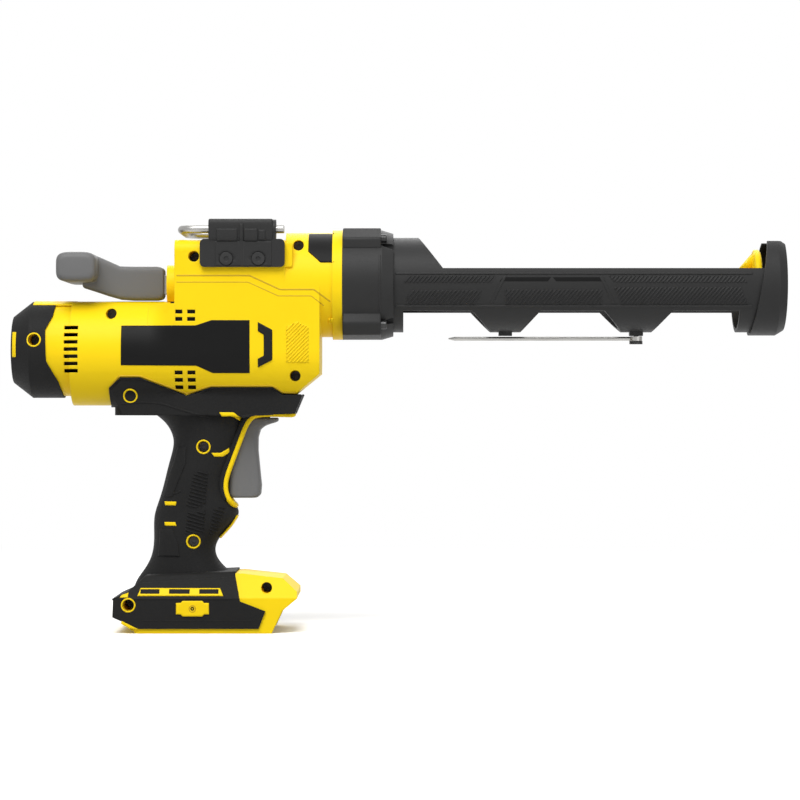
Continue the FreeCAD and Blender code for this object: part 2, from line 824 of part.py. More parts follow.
def inner_walls(side):
    """Ribs, posts, blocks and bosses that reach inward from one half's shell."""
    rib_half = d.rib_thickness / 2
    rib_rear = d.motor_can_rear + d.motor_can_radius
    motor_room = rod_x(d.motor_can_rear, d.motor_can_front, d.motor_can_radius + d.seat_fit,
                       d.motor_axis_height)
    motor_rib = rod_x(rib_rear, rib_rear + d.rib_thickness, d.motor_radius - d.seat_fit, d.motor_axis_height)
    switch_middle = d.switch_height_low + d.switch_height / 2
    switch_rib = span_box((switch_rear + d.rib_thickness, switch_front - d.rib_thickness),
                          outward(side, d.switch_width / 2 + d.seat_fit, d.grip_width / 2),
                          (switch_middle - rib_half, switch_middle + rib_half))
    pin_boss = rod_y(*outward(side, trigger_half, d.web_width), d.trigger_pin_radius + d.boss_wall,
                     d.trigger_pivot_x, d.trigger_pivot_height)
    front_block = rod_x(d.body_front - d.front_wall / 2, d.neck_front, d.motor_radius, d.barrel_axis_height)
    rear_block = rod_x(d.rear_boss_end, d.upper_rear + d.wall * 2, d.rear_boss_radius, d.barrel_axis_height)
    dial_post = span_box((d.rear_end + d.wall / 2, d.rear_end + d.wall + d.dial_unit_depth),
                         outward(side, d.dial_unit_size / 2 + d.seat_fit, d.rear_face_radius),
                         (d.dial_height - rib_half, d.dial_height + rib_half))
    rail = span_box((d.bay_rear - d.overrun, d.rail_front),
                    outward(side, d.bay_width / 2 - d.rail_depth, d.bay_width / 2 + d.overrun),
                    (d.rail_bottom, d.rail_bottom + d.rail_thickness))
    bearing_inner, _ = bearing_span(side)
    bearing_wall = d.shaft_bearing_radius + d.bearing_boss_wall
    bearing_bosses = [rod_y(*outward(side, bearing_inner, far_left), bearing_wall, x, z)
                      for x, z in bearing_places()]
    held_in_body = [wall.common(outer_body) for wall in [switch_rib, pin_boss, dial_post] + bearing_bosses]
    screw_walls = [boss.common(housing_form) for boss in screw_bosses(side)]
    return [motor_rib.cut(motor_room), front_block, rear_block, rail] + held_in_body + screw_walls


def housing_cuts(side):
    """Bores and seats in one half of the housing."""
    cuts = [bush_bore, dial_bore, trigger_slot]
    bearing_inner, bearing_outer = bearing_span(side)
    for x, z in bearing_places():
        cuts.append(rod_y(*outward(side, bearing_inner - d.overrun, bearing_outer),
                          d.shaft_bearing_radius + d.seat_fit, x, z))
    cuts.append(rod_y(-d.trigger_pin_length / 2 - d.seat_fit, d.trigger_pin_length / 2 + d.seat_fit,
                      d.trigger_pin_radius + d.seat_fit, d.trigger_pivot_x, d.trigger_pivot_height))
    for x, z in SCREW_PLACES:
        cuts.append(rod_y(-d.screw_seat - d.overrun, d.screw_reach + d.seat_fit,
                          d.screw_radius + d.seat_fit, x, z))
        cuts.append(rod_y(far_right, -d.screw_seat, d.screw_head_radius + d.head_room, x, z))
    for number in range(COLLAR_SCREWS):
        y, z = collar_screw_place(number)
        cuts.append(rod_x(d.flange_front - d.collar_screw_grip - d.seat_fit, d.flange_front + d.overrun,
                          d.collar_screw_radius + d.seat_fit, z, y))
    for along in bracket_screw_places():
        cuts.append(rod_y(-d.motor_radius - d.overrun, bracket_face + d.bracket_screw_length,
                          d.bracket_screw_radius + d.seat_fit, along, bracket_screw_height))
    return cuts


def housing_half(side, space):
    """One half of the housing; side is -1 for the right half and 1 for the left."""
    shell = housing_form.cut(inner_body.multiFuse([foot_room]))
    shell = shell.cut(vent_cuts()).cut([bay, block_slot])
    half = shell.multiFuse(inner_walls(side)).common(space)
    return half.cut(housing_cuts(side)).removeSplitter()


def collar_screw_place(number):
    """Place of one collar screw on its circle: y and height."""
    angle = math.radians(FULL_TURN * (number + HALF_STEP_SHARE) / COLLAR_SCREWS)
    return (d.collar_screw_circle * math.cos(angle),
            d.barrel_axis_height + d.collar_screw_circle * math.sin(angle))


def bracket_screw_places():
    """The bracket's two screws along X."""
    middle = d.bracket_rear + d.bracket_length / 2
    return [middle - d.bracket_screw_spacing / 2, middle + d.bracket_screw_spacing / 2]


bracket_face = -d.motor_radius - d.bracket_thickness
bracket_screw_height = (bracket_low + saddle_height - d.saddle_corner) / 2
switch_front = trigger_back - d.switch_gap
switch_rear = switch_front - d.switch_length

# Rubber skins, each made whole and then shared between the two sides
screw_holes = [rod_y(far_right, far_left, d.screw_head_radius + d.head_room, x, z) for x, z in SCREW_PLACES]
overmould_outline = laid_out(OVERMOULD_SHARES, d.web_rear, d.grip_bottom, web_length, d.grip_height)
overmould = skin_body.common(side_slab(overmould_outline, far_right, far_left))
overmould = overmould.cut([outer_body, outer_foot, trigger_slot] + screw_holes)
panel_outline = laid_out(FOOT_PANEL_SHARES, d.foot_rear, 0, d.foot_length, d.foot_height)
foot_panel = skin_foot.common(side_slab(panel_outline, far_right, far_left))
foot_panel = foot_panel.cut([outer_foot, skin_body] + screw_holes)
bumper_outline = laid_out(BUMPER_EDGE_SHARES, d.rear_end - d.bumper_thickness, d.rear_axis_height,
                          rear_length, d.rear_radius)
bumper = rear_form(d.skin, d.bumper_thickness, d.bumper_front)
bumper = bumper.common(side_slab(bumper_outline, far_right, far_left))
dial_recess = rod_x(d.rear_end * 2, d.rear_end, d.dial_radius + d.moving_gap, d.dial_height)
bumper = bumper.cut([outer_body, dial_recess] + screw_holes)

for name, side, space in (("right", -1, right_space), ("left", 1, left_space)):
    feature(f"housing_{name}", housing_half(side, space))
    feature(f"grip_overmould_{name}", overmould.common(space))
    feature(f"foot_panel_{name}", foot_panel.common(space))
    feature(f"rear_bumper_{name}", bumper.common(space))


def housing_screw(x, z):
    """Pan-head screw along Y with a round drive socket."""
    top = -d.screw_seat - d.screw_head_height
    head = rod_y(top, -d.screw_seat, d.screw_head_radius, x, z)
    socket = rod_y(top, top + d.screw_socket_depth, d.screw_socket_radius, x, z)
    shank = rod_y(-d.screw_seat, d.screw_reach, d.screw_radius, x, z)
    return head.cut(socket).fuse(shank).removeSplitter()


feature("housing_screws", Part.makeCompound([housing_screw(x, z) for x, z in SCREW_PLACES]))


# Cradle, collar and end ring

barrel_place = (0, 0, d.barrel_axis_height)
barrel_inner = d.barrel_radius - d.barrel_wall
past = d.barrel_radius + d.overrun

barrel = new_body("barrel", barrel_place)
turn(barrel, ring_outline(d.barrel_rear, d.barrel_front, barrel_inner, d.barrel_radius))
pocket(barrel, [
    (d.sleeve_front, past), (d.sleeve_front, d.barrel_radius),
    (d.sleeve_front + d.sleeve_slope, d.rail_top), (d.barrel_front + d.overrun, d.rail_top),
    (d.barrel_front + d.overrun, past),
], "top_opening")
saddle_half = d.saddle_length / 2
saddle_feet = [d.first_saddle, d.first_saddle + d.saddle_spacing]
window_starts = [d.window_rear] + [middle + saddle_half for middle in saddle_feet]
window_ends = [middle - saddle_half for middle in saddle_feet] + [d.window_front]
for number, (start, end) in enumerate(zip(window_starts, window_ends)):
    rear_flare = d.saddle_flare if number > 0 else 0
    front_flare = d.saddle_flare if number < len(saddle_feet) else 0
    pocket(barrel, [
        (start, -past), (start, -d.barrel_radius), (start + rear_flare, -d.rail_low),
        (end - front_flare, -d.rail_low), (end, -d.barrel_radius), (end, -past),
    ], f"window_{number}")
pierce_x = saddle_feet[1]
pad(barrel, [
    (pierce_x - d.post_radius, -d.post_bottom), (pierce_x + d.post_radius, -d.post_bottom),
    (pierce_x + d.post_radius, -barrel_inner - d.barrel_wall / 2),
    (pierce_x - d.post_radius, -barrel_inner - d.barrel_wall / 2),
], d.post_radius * 2, "pivot_post")
pad(barrel, [
    (saddle_feet[0] - d.post_radius, -d.post_bottom), (saddle_feet[0] + d.post_radius, -d.post_bottom),
    (saddle_feet[0] + d.post_radius, -barrel_inner - d.barrel_wall / 2),
    (saddle_feet[0] - d.post_radius, -barrel_inner - d.barrel_wall / 2),
], d.post_radius * 2, "rest_post")
bore(barrel, pierce_x, 0, d.pierce_screw_radius + d.seat_fit, "pivot_bore", "XY_Plane")

collar_bore = d.barrel_radius + d.seat_fit
collar = new_body("collar_blank", barrel_place, blank=True)
turn(collar, [
    (d.flange_front, d.bush_radius), (d.barrel_rear, d.bush_radius), (d.barrel_rear, collar_bore),
    (d.collar_front, collar_bore), (d.collar_front, d.collar_end_radius),
    (d.collar_front - d.collar_slope, d.flange_radius), (d.flange_front, d.flange_radius),
])
doc.recompute()
collar_screw_cuts = []
for number in range(COLLAR_SCREWS):
    y, z = collar_screw_place(number)
    collar_screw_cuts.append(rod_x(d.flange_front - d.overrun, d.collar_front + d.overrun,
                                   d.collar_screw_radius + d.seat_fit, z, y))
    collar_screw_cuts.append(rod_x(d.collar_front - d.collar_head_seat, d.collar_front + d.overrun,
                                   d.collar_head_radius + d.head_room, z, y))
feature("barrel_collar", collar.Shape.cut(collar_screw_cuts))


def collar_screw(number):
    """Screw along X whose head sits in a pocket of the collar."""
    y, z = collar_screw_place(number)
    seat = d.collar_front - d.collar_head_seat
    head = rod_x(seat, seat + d.collar_head_height, d.collar_head_radius, z, y)
    shank = rod_x(d.flange_front - d.collar_screw_grip, seat, d.collar_screw_radius, z, y)
    return head.fuse(shank).removeSplitter()


feature("collar_screws", Part.makeCompound([collar_screw(number) for number in range(COLLAR_SCREWS)]))

ring = new_body("front_ring", barrel_place)
ring_seat = d.barrel_front + d.seat_fit
turn(ring, [
    (d.ring_rear, collar_bore), (ring_seat, collar_bore), (ring_seat, d.nozzle_slot_width / 2),
    (d.ring_front, d.nozzle_slot_width / 2), (d.ring_front, d.ring_front_radius),
    (d.ring_front - d.ring_front_wall, d.ring_radius), (d.ring_rear, d.ring_radius),
])
ring_past = d.ring_radius + d.overrun
pocket(ring, [
    (d.ring_rear - d.overrun, ring_past), (d.ring_front + d.overrun, ring_past),
    (d.ring_front + d.overrun, d.ring_top), (d.ring_rear - d.overrun, d.ring_top),
], "flat_top")
pocket(ring, [
    (d.ring_rear - d.overrun, -d.ring_radius), (d.ring_rear, -d.ring_radius),
    (d.ring_rear + d.ring_slant, d.ring_radius), (d.ring_rear - d.overrun, d.ring_radius),
], "slant")
slot_half = d.nozzle_slot_width / 2
pocket(ring, [(-slot_half, 0), (slot_half, 0), (slot_half, ring_past), (-slot_half, ring_past)],
       "nozzle_slot", "YZ_Plane")


# Plunger

def rack_outline():
    """Side view of the rod, with rack teeth along its underside."""
    pitch = math.pi * d.rack_module
    pinion_x = d.cross_x
    teeth_low = rod_low
    root = teeth_low + d.rack_module * (ADDENDUM_SHARE + DEDENDUM_SHARE)
    half = pitch * (1 - BACKLASH_SHARE) / 4
    lean = math.tan(math.radians(PRESSURE_ANGLE))
    tip_half = half - d.rack_module * ADDENDUM_SHARE * lean
    root_half = half + d.rack_module * DEDENDUM_SHARE * lean
    first = math.ceil(float((d.rack_start - pinion_x) / pitch))
    last = math.floor(float((d.rack_end - pinion_x) / pitch))
    outline = [(d.rod_front, teeth_low + d.rod_height), (d.rod_tail, teeth_low + d.rod_height),
               (d.rod_tail, teeth_low), (d.rack_start - pitch, teeth_low), (d.rack_start - pitch, root)]
    for number in range(first, last):
        middle = pinion_x + pitch * (number + HALF_STEP_SHARE)
        outline += [(middle - root_half, root), (middle - tip_half, teeth_low),
                    (middle + tip_half, teeth_low), (middle + root_half, root)]
    return outline + [(d.rack_end + pitch, root), (d.rack_end + pitch, teeth_low), (d.rod_front, teeth_low)]


handle_pin_bore = rod_y(-d.handle_neck_width, d.handle_neck_width, d.handle_pin_radius + d.seat_fit,
                        d.handle_pin_place, d.barrel_axis_height)
piston_bore = rod_x(d.rod_front - d.piston_bolt_length, d.rod_front + d.overrun,
                    d.piston_bolt_radius + d.seat_fit, d.barrel_axis_height)
rod = side_slab(rack_outline(), -d.rod_width / 2, d.rod_width / 2)
feature("plunger_rod", rod.cut([handle_pin_bore, piston_bore]))

rod_room = span_box((d.rod_tail * 2, d.rod_front * 2),
                    (-d.rod_width / 2 - d.running_fit, d.rod_width / 2 + d.running_fit),
                    (rod_low - d.running_fit, rod_low + d.rod_height + d.running_fit))
bush_front = rod_x(d.body_front - d.front_wall / 2, d.flange_front, d.bush_radius, d.barrel_axis_height)
bush_rear = rod_x(d.rear_boss_end, d.upper_rear + d.wall * 2, d.bush_radius, d.barrel_axis_height)
feature("rod_bushes", Part.makeCompound([bush_front.cut(rod_room), bush_rear.cut(rod_room)]))

piston = new_body("piston", barrel_place)
bolt_room = d.piston_bolt_radius + d.seat_fit
head_room = d.piston_bolt_head + d.head_room
rod_seat = d.rod_front
turn(piston, [
    (rod_seat, bolt_room), (d.piston_front - d.piston_bolt_head_height, bolt_room),
    (d.piston_front - d.piston_bolt_head_height, head_room), (d.piston_front, head_room),
    (d.piston_front, d.piston_radius - d.piston_lip), (d.piston_front - d.piston_lip, d.piston_radius),
    (d.piston_disc, d.piston_radius), (d.piston_disc, d.piston_hub_radius),
    (rod_seat, d.piston_hub_radius),
])
rib = pad(piston, [
    (rod_seat, d.piston_hub_radius - d.overrun), (rod_seat, d.piston_hub_radius),
    (d.piston_disc, d.piston_radius - d.piston_lip),
    (d.piston_disc + d.overrun, d.piston_radius - d.piston_lip),
    (d.piston_disc + d.overrun, d.piston_hub_radius - d.overrun),
], d.piston_rib, "rib")
repeat(piston, rib, PISTON_RIBS)

turned_body("piston_screw", barrel_place, [
    (d.rod_front - d.piston_bolt_length, 0), (d.piston_front, 0), (d.piston_front, d.piston_bolt_head),
    (d.piston_front - d.piston_bolt_head_height, d.piston_bolt_head),
    (d.piston_front - d.piston_bolt_head_height, d.piston_bolt_radius),
    (d.rod_front - d.piston_bolt_length, d.piston_bolt_radius),
])

# Pull handle: a neck over the rod's tail and a crossbar behind it
# Side view of the neck: shares of its length and height, from its front lower corner
NECK_SHARES = (
    (0.00, 0.08), (0.08, 0.00), (0.40, 0.00), (0.97, 0.54), (1.00, 0.72), (0.97, 1.30), (0.66, 1.36),
    (0.42, 1.00), (0.06, 1.00), (0.00, 0.84),
)
# Side view of the crossbar: shares of its length and height, from its rear lower corner
BAR_SHARES = (
    (0.10, 0.12), (0.30, 0.00), (0.75, 0.10), (1.00, 0.45), (1.00, 0.80), (0.85, 1.00), (0.40, 1.00),
    (0.05, 0.70), (0.00, 0.30),
)
handle = new_body("handle_blank", barrel_place, blank=True)
neck_outline = [(d.handle_front - d.handle_neck_length * along, d.handle_neck_height * up - d.handle_low)
                for along, up in NECK_SHARES]
pad(handle, neck_outline, d.handle_neck_width, "neck")
bar_outline = [(d.handle_front - d.handle_neck_length + d.handle_bar_length * along,
                d.handle_bar_rise + d.handle_bar_height * up) for along, up in BAR_SHARES]
pad(handle, bar_outline, d.handle_bar_span, "bar")
doc.recompute()
end_edges = [edge for edge in handle.Shape.Edges
             if abs(abs(edge.CenterOfMass.y) - d.handle_bar_span.value / 2) < d.seat_fit.value]
rounded = handle.Shape.makeFillet(d.handle_round, end_edges)
tail_room = rod_room.common(span_box((d.rod_tail, d.rod_front), (far_right, far_left), whole_height))
feature("pull_handle", rounded.cut([tail_room, handle_pin_bore]))

pin_length = d.handle_neck_width - d.handle_round
turned_body("handle_pin", (d.handle_pin_place, -pin_length / 2, d.barrel_axis_height),
            ring_outline(0, pin_length, 0, d.handle_pin_radius), "Y")


# Piercing wire under the cradle

pierce_height = d.barrel_axis_height - d.pierce_drop
pierce_end = pierce_x - d.pierce_length
eye_low = pierce_height - d.pierce_eye_height / 2
eye_inner = d.pierce_screw_radius + d.running_fit
eye = rod_z(eye_low, eye_low + d.pierce_eye_height, d.pierce_eye_radius, pierce_x)
wire = turned_x([
    (pierce_end, 0), (pierce_x - (d.pierce_eye_radius + eye_inner) / 2, 0),
    (pierce_x - (d.pierce_eye_radius + eye_inner) / 2, d.pierce_radius),
    (pierce_end + d.pierce_taper, d.pierce_radius), (pierce_end, d.pierce_tip_radius),
], pierce_height)
eye = eye.cut(rod_z(0, d.barrel_axis_height, eye_inner, pierce_x))
feature("piercing_rod", eye.fuse(wire).removeSplitter())
pierce_head = eye_low - d.seat_fit - d.pierce_head_height
pierce_screw_top = d.barrel_axis_height - barrel_inner - d.seat_fit - pierce_head
turned_body("piercing_rod_screw", (pierce_x, 0, pierce_head), [
    (0, 0), (pierce_screw_top, 0), (pierce_screw_top, d.pierce_screw_radius),
    (d.pierce_head_height, d.pierce_screw_radius), (d.pierce_head_height, d.pierce_head_radius),
    (0, d.pierce_head_radius),
], "Z")


# Hook and bracket

# Window of the hinge's knuckle, as shares of its length and radius
KNUCKLE_LENGTH_SHARE = 0.18
KNUCKLE_DEPTH_SHARE = 0.25

bracket_middle = d.bracket_rear + d.bracket_length / 2
hinge_rear = bracket_middle - d.hinge_length / 2
hinge_front = bracket_middle + d.hinge_length / 2
hinge_y = bracket_face + d.hinge_inset
plate_middle = (bracket_face - d.motor_radius).value / 2
plate = span_box((d.bracket_rear, d.bracket_rear + d.bracket_length), (bracket_face, -d.motor_radius),
                 (bracket_low, bracket_high))
corner_edges = [edge for edge in plate.Edges
                if abs(edge.CenterOfMass.y - plate_middle) < d.seat_fit.value]
plate = plate.makeFillet(d.bracket_corner, corner_edges)
hinge = rod_x(hinge_rear, hinge_front, d.hinge_radius, hinge_height, hinge_y)
hinge_web = span_box((hinge_rear, hinge_front), (bracket_face, hinge_y),
                     (bracket_high - d.bracket_corner * 2, hinge_height))
hinge_web = hinge_web.cut(span_box((d.bracket_rear, d.saddle_front), (-d.motor_radius, 0),
                                   (bracket_low, saddle_height)))
hook_bore = rod_x(d.rear_end, -d.rear_end, d.hook_wire_radius + d.running_fit, hinge_height, hinge_y)
knuckle_half = d.hinge_length * KNUCKLE_LENGTH_SHARE
knuckle_gap = span_box((bracket_middle - knuckle_half, bracket_middle + knuckle_half),
                       (hinge_y - d.hinge_radius * 2, 0),
                       (hinge_height - d.hinge_radius * KNUCKLE_DEPTH_SHARE,
                        hinge_height + d.hinge_radius * 2))
bracket_seat = bracket_face + d.bracket_head_height / 2
bracket_cuts = [hook_bore, knuckle_gap]
for along in bracket_screw_places():
    bracket_cuts.append(rod_y(bracket_face - d.overrun, 0, d.bracket_screw_radius + d.seat_fit, along,
                              bracket_screw_height))
    bracket_cuts.append(rod_y(bracket_face - d.overrun, bracket_seat, d.bracket_head_radius + d.head_room,
                              along, bracket_screw_height))
feature("hook_bracket", fused([plate, hinge, hinge_web]).cut(bracket_cuts))


def bracket_screw(along):
    """Low-head screw along Y through the bracket's plate."""
    top = bracket_seat - d.bracket_head_height
    end = bracket_face + d.bracket_screw_length - d.seat_fit
    head = rod_y(top, bracket_seat, d.bracket_head_radius, along, bracket_screw_height)
    socket = rod_y(top, top + d.bracket_head_height / 2, d.bracket_screw_radius, along, bracket_screw_height)
    shank = rod_y(bracket_seat, end, d.bracket_screw_radius, along, bracket_screw_height)
    return head.cut(socket).fuse(shank).removeSplitter()


feature("bracket_screws", Part.makeCompound([bracket_screw(along) for along in bracket_screw_places()]))


def bent_wire(points, radius, bend):
    """Round wire along straight runs with a tangent arc at each inner point."""
    edges = []
    start = points[0]
    for before, corner, after in zip(points, points[1:], points[2:]):
        into = (corner - before).normalize()
        out = (after - corner).normalize()
        entry = corner - into * float(bend)
        leave = corner + out * float(bend)
        centre = entry + out * float(bend)
        middle = centre + (corner - centre).normalize() * float(bend)
        edges.append(Part.makeLine(start, entry))
        edges.append(Part.Arc(entry, middle, leave).toShape())
        start = leave
    edges.append(Part.makeLine(start, points[-1]))
    section = Part.Wire(Part.makeCircle(float(radius), points[0], (points[1] - points[0]).normalize()))
    return Part.Wire(edges).makePipeShell([section], True, False)


hook_route = [
    Vector(d.hook_front, hinge_y, hinge_height), Vector(d.hook_rear, hinge_y, hinge_height),
    Vector(d.hook_rear, hinge_y + d.hook_span, hinge_height),
    Vector(d.hook_rear + d.hook_return, hinge_y + d.hook_span, hinge_height),
]
feature("hang_hook", bent_wire(hook_route, d.hook_wire_radius, d.hook_bend))


# Trigger and switch

# Side view of the trigger: shares of its depth forward and of its drop down, from the pivot
TRIGGER_SHARES = (
    (0.306, 0.123), (0.306, 0.151), (0.081, 0.181), (-0.050, 0.250), (-0.085, 0.340), (-0.090, 0.477),
    (-0.019, 0.870), (-0.019, 0.930), (-0.110, 0.970), (-0.545, 1.000), (-TRIGGER_REAR_SHARE, 0.965),
    (-TRIGGER_REAR_SHARE, 0.210), (-0.450, 0.123),
)
# The finger face begins below this share of the drop
FINGER_TOP_SHARE = 0.2
# Side view of the ear round the pivot: shares of its radius
EAR_SHARES = ((-1.0, -2.4), (-1.0, 0.0), (-0.7, 0.7), (0.0, 1.0), (0.7, 0.7), (1.0, 0.0), (1.0, -2.0))

trigger = new_body("trigger", (d.trigger_pivot_x, 0, d.trigger_pivot_height))
trigger_outline = [(d.trigger_depth * along, -d.trigger_drop * down) for along, down in TRIGGER_SHARES]
ear_outline = [(d.trigger_ear_radius * along, d.trigger_ear_radius * up) for along, up in EAR_SHARES]
pad(trigger, trigger_outline, d.trigger_width)
pad(trigger, ear_outline, d.trigger_ear_width, "ear")
bore(trigger, 0, 0, d.trigger_pin_radius + d.running_fit, "pivot")
finger_rear = -(d.trigger_depth * TRIGGER_REAR_SHARE / 2).value
finger_top = -(d.trigger_drop * FINGER_TOP_SHARE).value
round_edges(trigger, d.trigger_round, lambda edge: edge.BoundBox.XMin > finger_rear
            and edge.BoundBox.ZMax < finger_top and edge.BoundBox.YLength < d.seat_fit.value)

turned_body("trigger_pin", (d.trigger_pivot_x, -d.trigger_pin_length / 2, d.trigger_pivot_height),
            ring_outline(0, d.trigger_pin_length, 0, d.trigger_pin_radius), "Y")

plunger_height = d.trigger_pivot_height - d.plunger_drop
plunger_tip = trigger_back - d.moving_gap
plunger_end = switch_front - d.plunger_hold
switch_body = span_box((switch_rear, switch_front), (-d.switch_width / 2, d.switch_width / 2),
                       (d.switch_height_low, d.switch_height_low + d.switch_height))
plunger_room = span_box((plunger_end - d.plunger_travel - d.moving_gap, switch_front + d.overrun),
                        (-d.plunger_size / 2 - d.running_fit, d.plunger_size / 2 + d.running_fit),
                        (plunger_height - d.plunger_size / 2 - d.running_fit,
                         plunger_height + d.plunger_size / 2 + d.running_fit))
feature("switch_module", switch_body.cut(plunger_room))
bound_box("switch_plunger", (plunger_end, -d.plunger_size / 2, plunger_height - d.plunger_size / 2),
          (plunger_tip - plunger_end, d.plunger_size, d.plunger_size))


# Electrics in the foot

ceiling_top = d.bay_height + d.bay_ceiling
block_bottom = d.bay_height - d.block_drop
blade_rear = d.block_rear + (d.block_length - d.blade_length) / 2
blade_low = block_bottom - d.blade_height
contact_root = block_bottom + d.blade_height / 2
block = fused([
    span_box((d.block_rear, d.block_rear + d.block_length), (-d.block_width / 2, d.block_width / 2),
             (block_bottom, ceiling_top + d.block_top)),
    span_box((d.block_rear - d.block_flange, d.block_rear + d.block_length + d.block_flange),
             (-d.block_width / 2 - d.block_flange, d.block_width / 2 + d.block_flange),
             (ceiling_top, ceiling_top + d.block_flange)),
])
blades = []
blade_slots = []
for number in range(BLADES):
    middle = d.blade_pitch * (number - (BLADES - 1) / 2)
    for shapes, fit, reach in ((blades, 0, 0), (blade_slots, d.seat_fit, d.overrun)):
        shapes.append(span_box((blade_rear - fit, blade_rear + d.blade_length + fit),
                               (middle - d.blade_thickness / 2 - fit, middle + d.blade_thickness / 2 + fit),
                               (blade_low - reach, contact_root + fit)))
feature("terminal_block", block.cut(blade_slots))
feature("terminal_blades", Part.makeCompound(blades))
bound_box("control_board", (d.board_rear, -d.board_width / 2, ceiling_top + d.block_top),
          (d.board_length, d.board_width, d.board_thickness))

# Speed dial, with its shaft in the unit behind the rear wall
dial_reach = d.wall + d.dial_unit_depth / 2
turned_body("speed_dial", (d.rear_end, 0, d.dial_height), [
    (-d.moving_gap - d.dial_thickness, 0), (dial_reach, 0), (dial_reach, d.dial_shaft_radius),
    (-d.moving_gap, d.dial_shaft_radius), (-d.moving_gap, d.dial_radius),
    (-d.moving_gap - d.dial_thickness / 2, d.dial_radius),
    (-d.moving_gap - d.dial_thickness, d.dial_radius - d.dial_thickness / 2),
])
dial_unit = span_box((d.rear_end + d.wall, d.rear_end + d.wall + d.dial_unit_depth),
                     (-d.dial_unit_size / 2, d.dial_unit_size / 2),
                     (d.dial_height - d.dial_unit_size / 2, d.dial_height + d.dial_unit_size / 2))
dial_socket = rod_x(d.rear_end, d.rear_end + dial_reach + d.moving_gap,
                    d.dial_shaft_radius + d.running_fit, d.dial_height)
feature("speed_dial_unit", dial_unit.cut(dial_socket))


# Motor

motor_place = (0, 0, d.motor_axis_height)
can_inner = d.motor_can_radius - d.motor_can_wall
motor_seat = d.motor_bearing_radius + d.seat_fit
shaft_room = d.motor_shaft_radius + d.motor_lip
nose_end = d.motor_can_front + d.motor_nose_length
nose_lip = nose_end - d.motor_lip
cap_rear = d.motor_can_rear - d.end_cap_length
cap_lip = cap_rear + d.motor_lip
stage_end = d.stage_rear + d.stage_length

turned_body("motor_can", motor_place, [
    (d.motor_can_rear, can_inner), (d.motor_can_front - d.motor_face, can_inner),
    (d.motor_can_front - d.motor_face, motor_seat), (nose_lip, motor_seat), (nose_lip, shaft_room),
    (nose_end, shaft_room), (nose_end, d.motor_nose_radius), (d.motor_can_front, d.motor_nose_radius),
    (d.motor_can_front, d.motor_can_radius), (d.motor_can_rear, d.motor_can_radius),
])
turned_body("motor_end_cap", motor_place, [
    (cap_rear, shaft_room), (cap_lip, shaft_room), (cap_lip, motor_seat), (d.motor_can_rear, motor_seat),
    (d.motor_can_rear, d.motor_can_radius), (cap_rear, d.motor_can_radius),
])
turned_body("motor_magnets", motor_place, ring_outline(
    d.rotor_rear, d.rotor_front, d.rotor_radius + d.magnet_gap, can_inner - d.seat_fit))
bearing_hole = d.motor_shaft_radius + d.running_fit
motor_bearings = []
for start in (cap_lip, nose_lip - d.motor_bearing_length):
    end = start + d.motor_bearing_length
    hole = rod_x(start, end, bearing_hole, d.motor_axis_height)
    motor_bearings.append(rod_x(start, end, d.motor_bearing_radius, d.motor_axis_height).cut(hole))
feature("motor_bearings", Part.makeCompound(motor_bearings))
turned_body("motor_rotor", motor_place, [
    (d.motor_shaft_rear, 0), (stage_end, 0), (stage_end, d.motor_shaft_radius),
    (d.rotor_front, d.motor_shaft_radius), (d.rotor_front, d.rotor_radius), (d.rotor_rear, d.rotor_radius),
    (d.rotor_rear, d.motor_shaft_radius), (d.motor_shaft_rear, d.motor_shaft_radius),
])
fan = new_body("motor_fan", motor_place)
fan_end = d.motor_shaft_rear + d.fan_length
turn(fan, [
    (d.motor_shaft_rear, d.motor_shaft_radius), (fan_end, d.motor_shaft_radius), (fan_end, d.fan_radius),
    (fan_end - d.fan_plate, d.fan_radius), (fan_end - d.fan_plate, d.fan_hub_radius),
    (d.motor_shaft_rear, d.fan_hub_radius),
])
blade_root = d.fan_hub_radius - d.fan_blade
blade_end = d.fan_radius - d.fan_blade
fan_blade = pad(fan, [
    (d.motor_shaft_rear, blade_root), (fan_end - d.fan_plate / 2, blade_root),
    (fan_end - d.fan_plate / 2, blade_end), (d.motor_shaft_rear, blade_end),
], d.fan_blade, "blade")
repeat(fan, fan_blade, FAN_BLADES)


# Gears

def involute(angle):
    """Involute of an angle in radians."""
    return math.tan(angle) - angle


def tooth_points(teeth, module, tip, root, fill):
    """Half of one tooth as (radius, angle) from root to tip; fill is its share of the pitch."""
    pitch_radius = teeth * module / 2
    base = pitch_radius * math.cos(math.radians(PRESSURE_ANGLE))
    at_pitch = math.pi * fill / teeth + involute(math.radians(PRESSURE_ANGLE))
    flank_start = max(base, root)
    points = [(root, at_pitch - involute(math.acos(min(1, base / flank_start))))]
    for step in range(4):
        radius = flank_start + (tip - flank_start) * step / 3
        points.append((radius, at_pitch - involute(math.acos(min(1, base / radius)))))
    return points


def ring_of_teeth(points, teeth, turned=0):
    """Corners of a whole toothed outline; turned is a share of the pitch."""
    corners = []
    for number in range(teeth):
        middle = 2 * math.pi * (number + turned) / teeth
        half = [(radius, middle - angle) for radius, angle in points]
        half += [(radius, middle + angle) for radius, angle in reversed(points)]
        corners += [(radius * math.cos(angle), radius * math.sin(angle)) for radius, angle in half]
    return corners


def gear_outline(teeth, module, turned=0):
    """Outline of an external gear."""
    module = float(module)
    tip = teeth * module / 2 + module * ADDENDUM_SHARE
    root = teeth * module / 2 - module * DEDENDUM_SHARE
    fill = (1 - BACKLASH_SHARE) / 2
    return ring_of_teeth(tooth_points(teeth, module, tip, root, fill), teeth, turned)


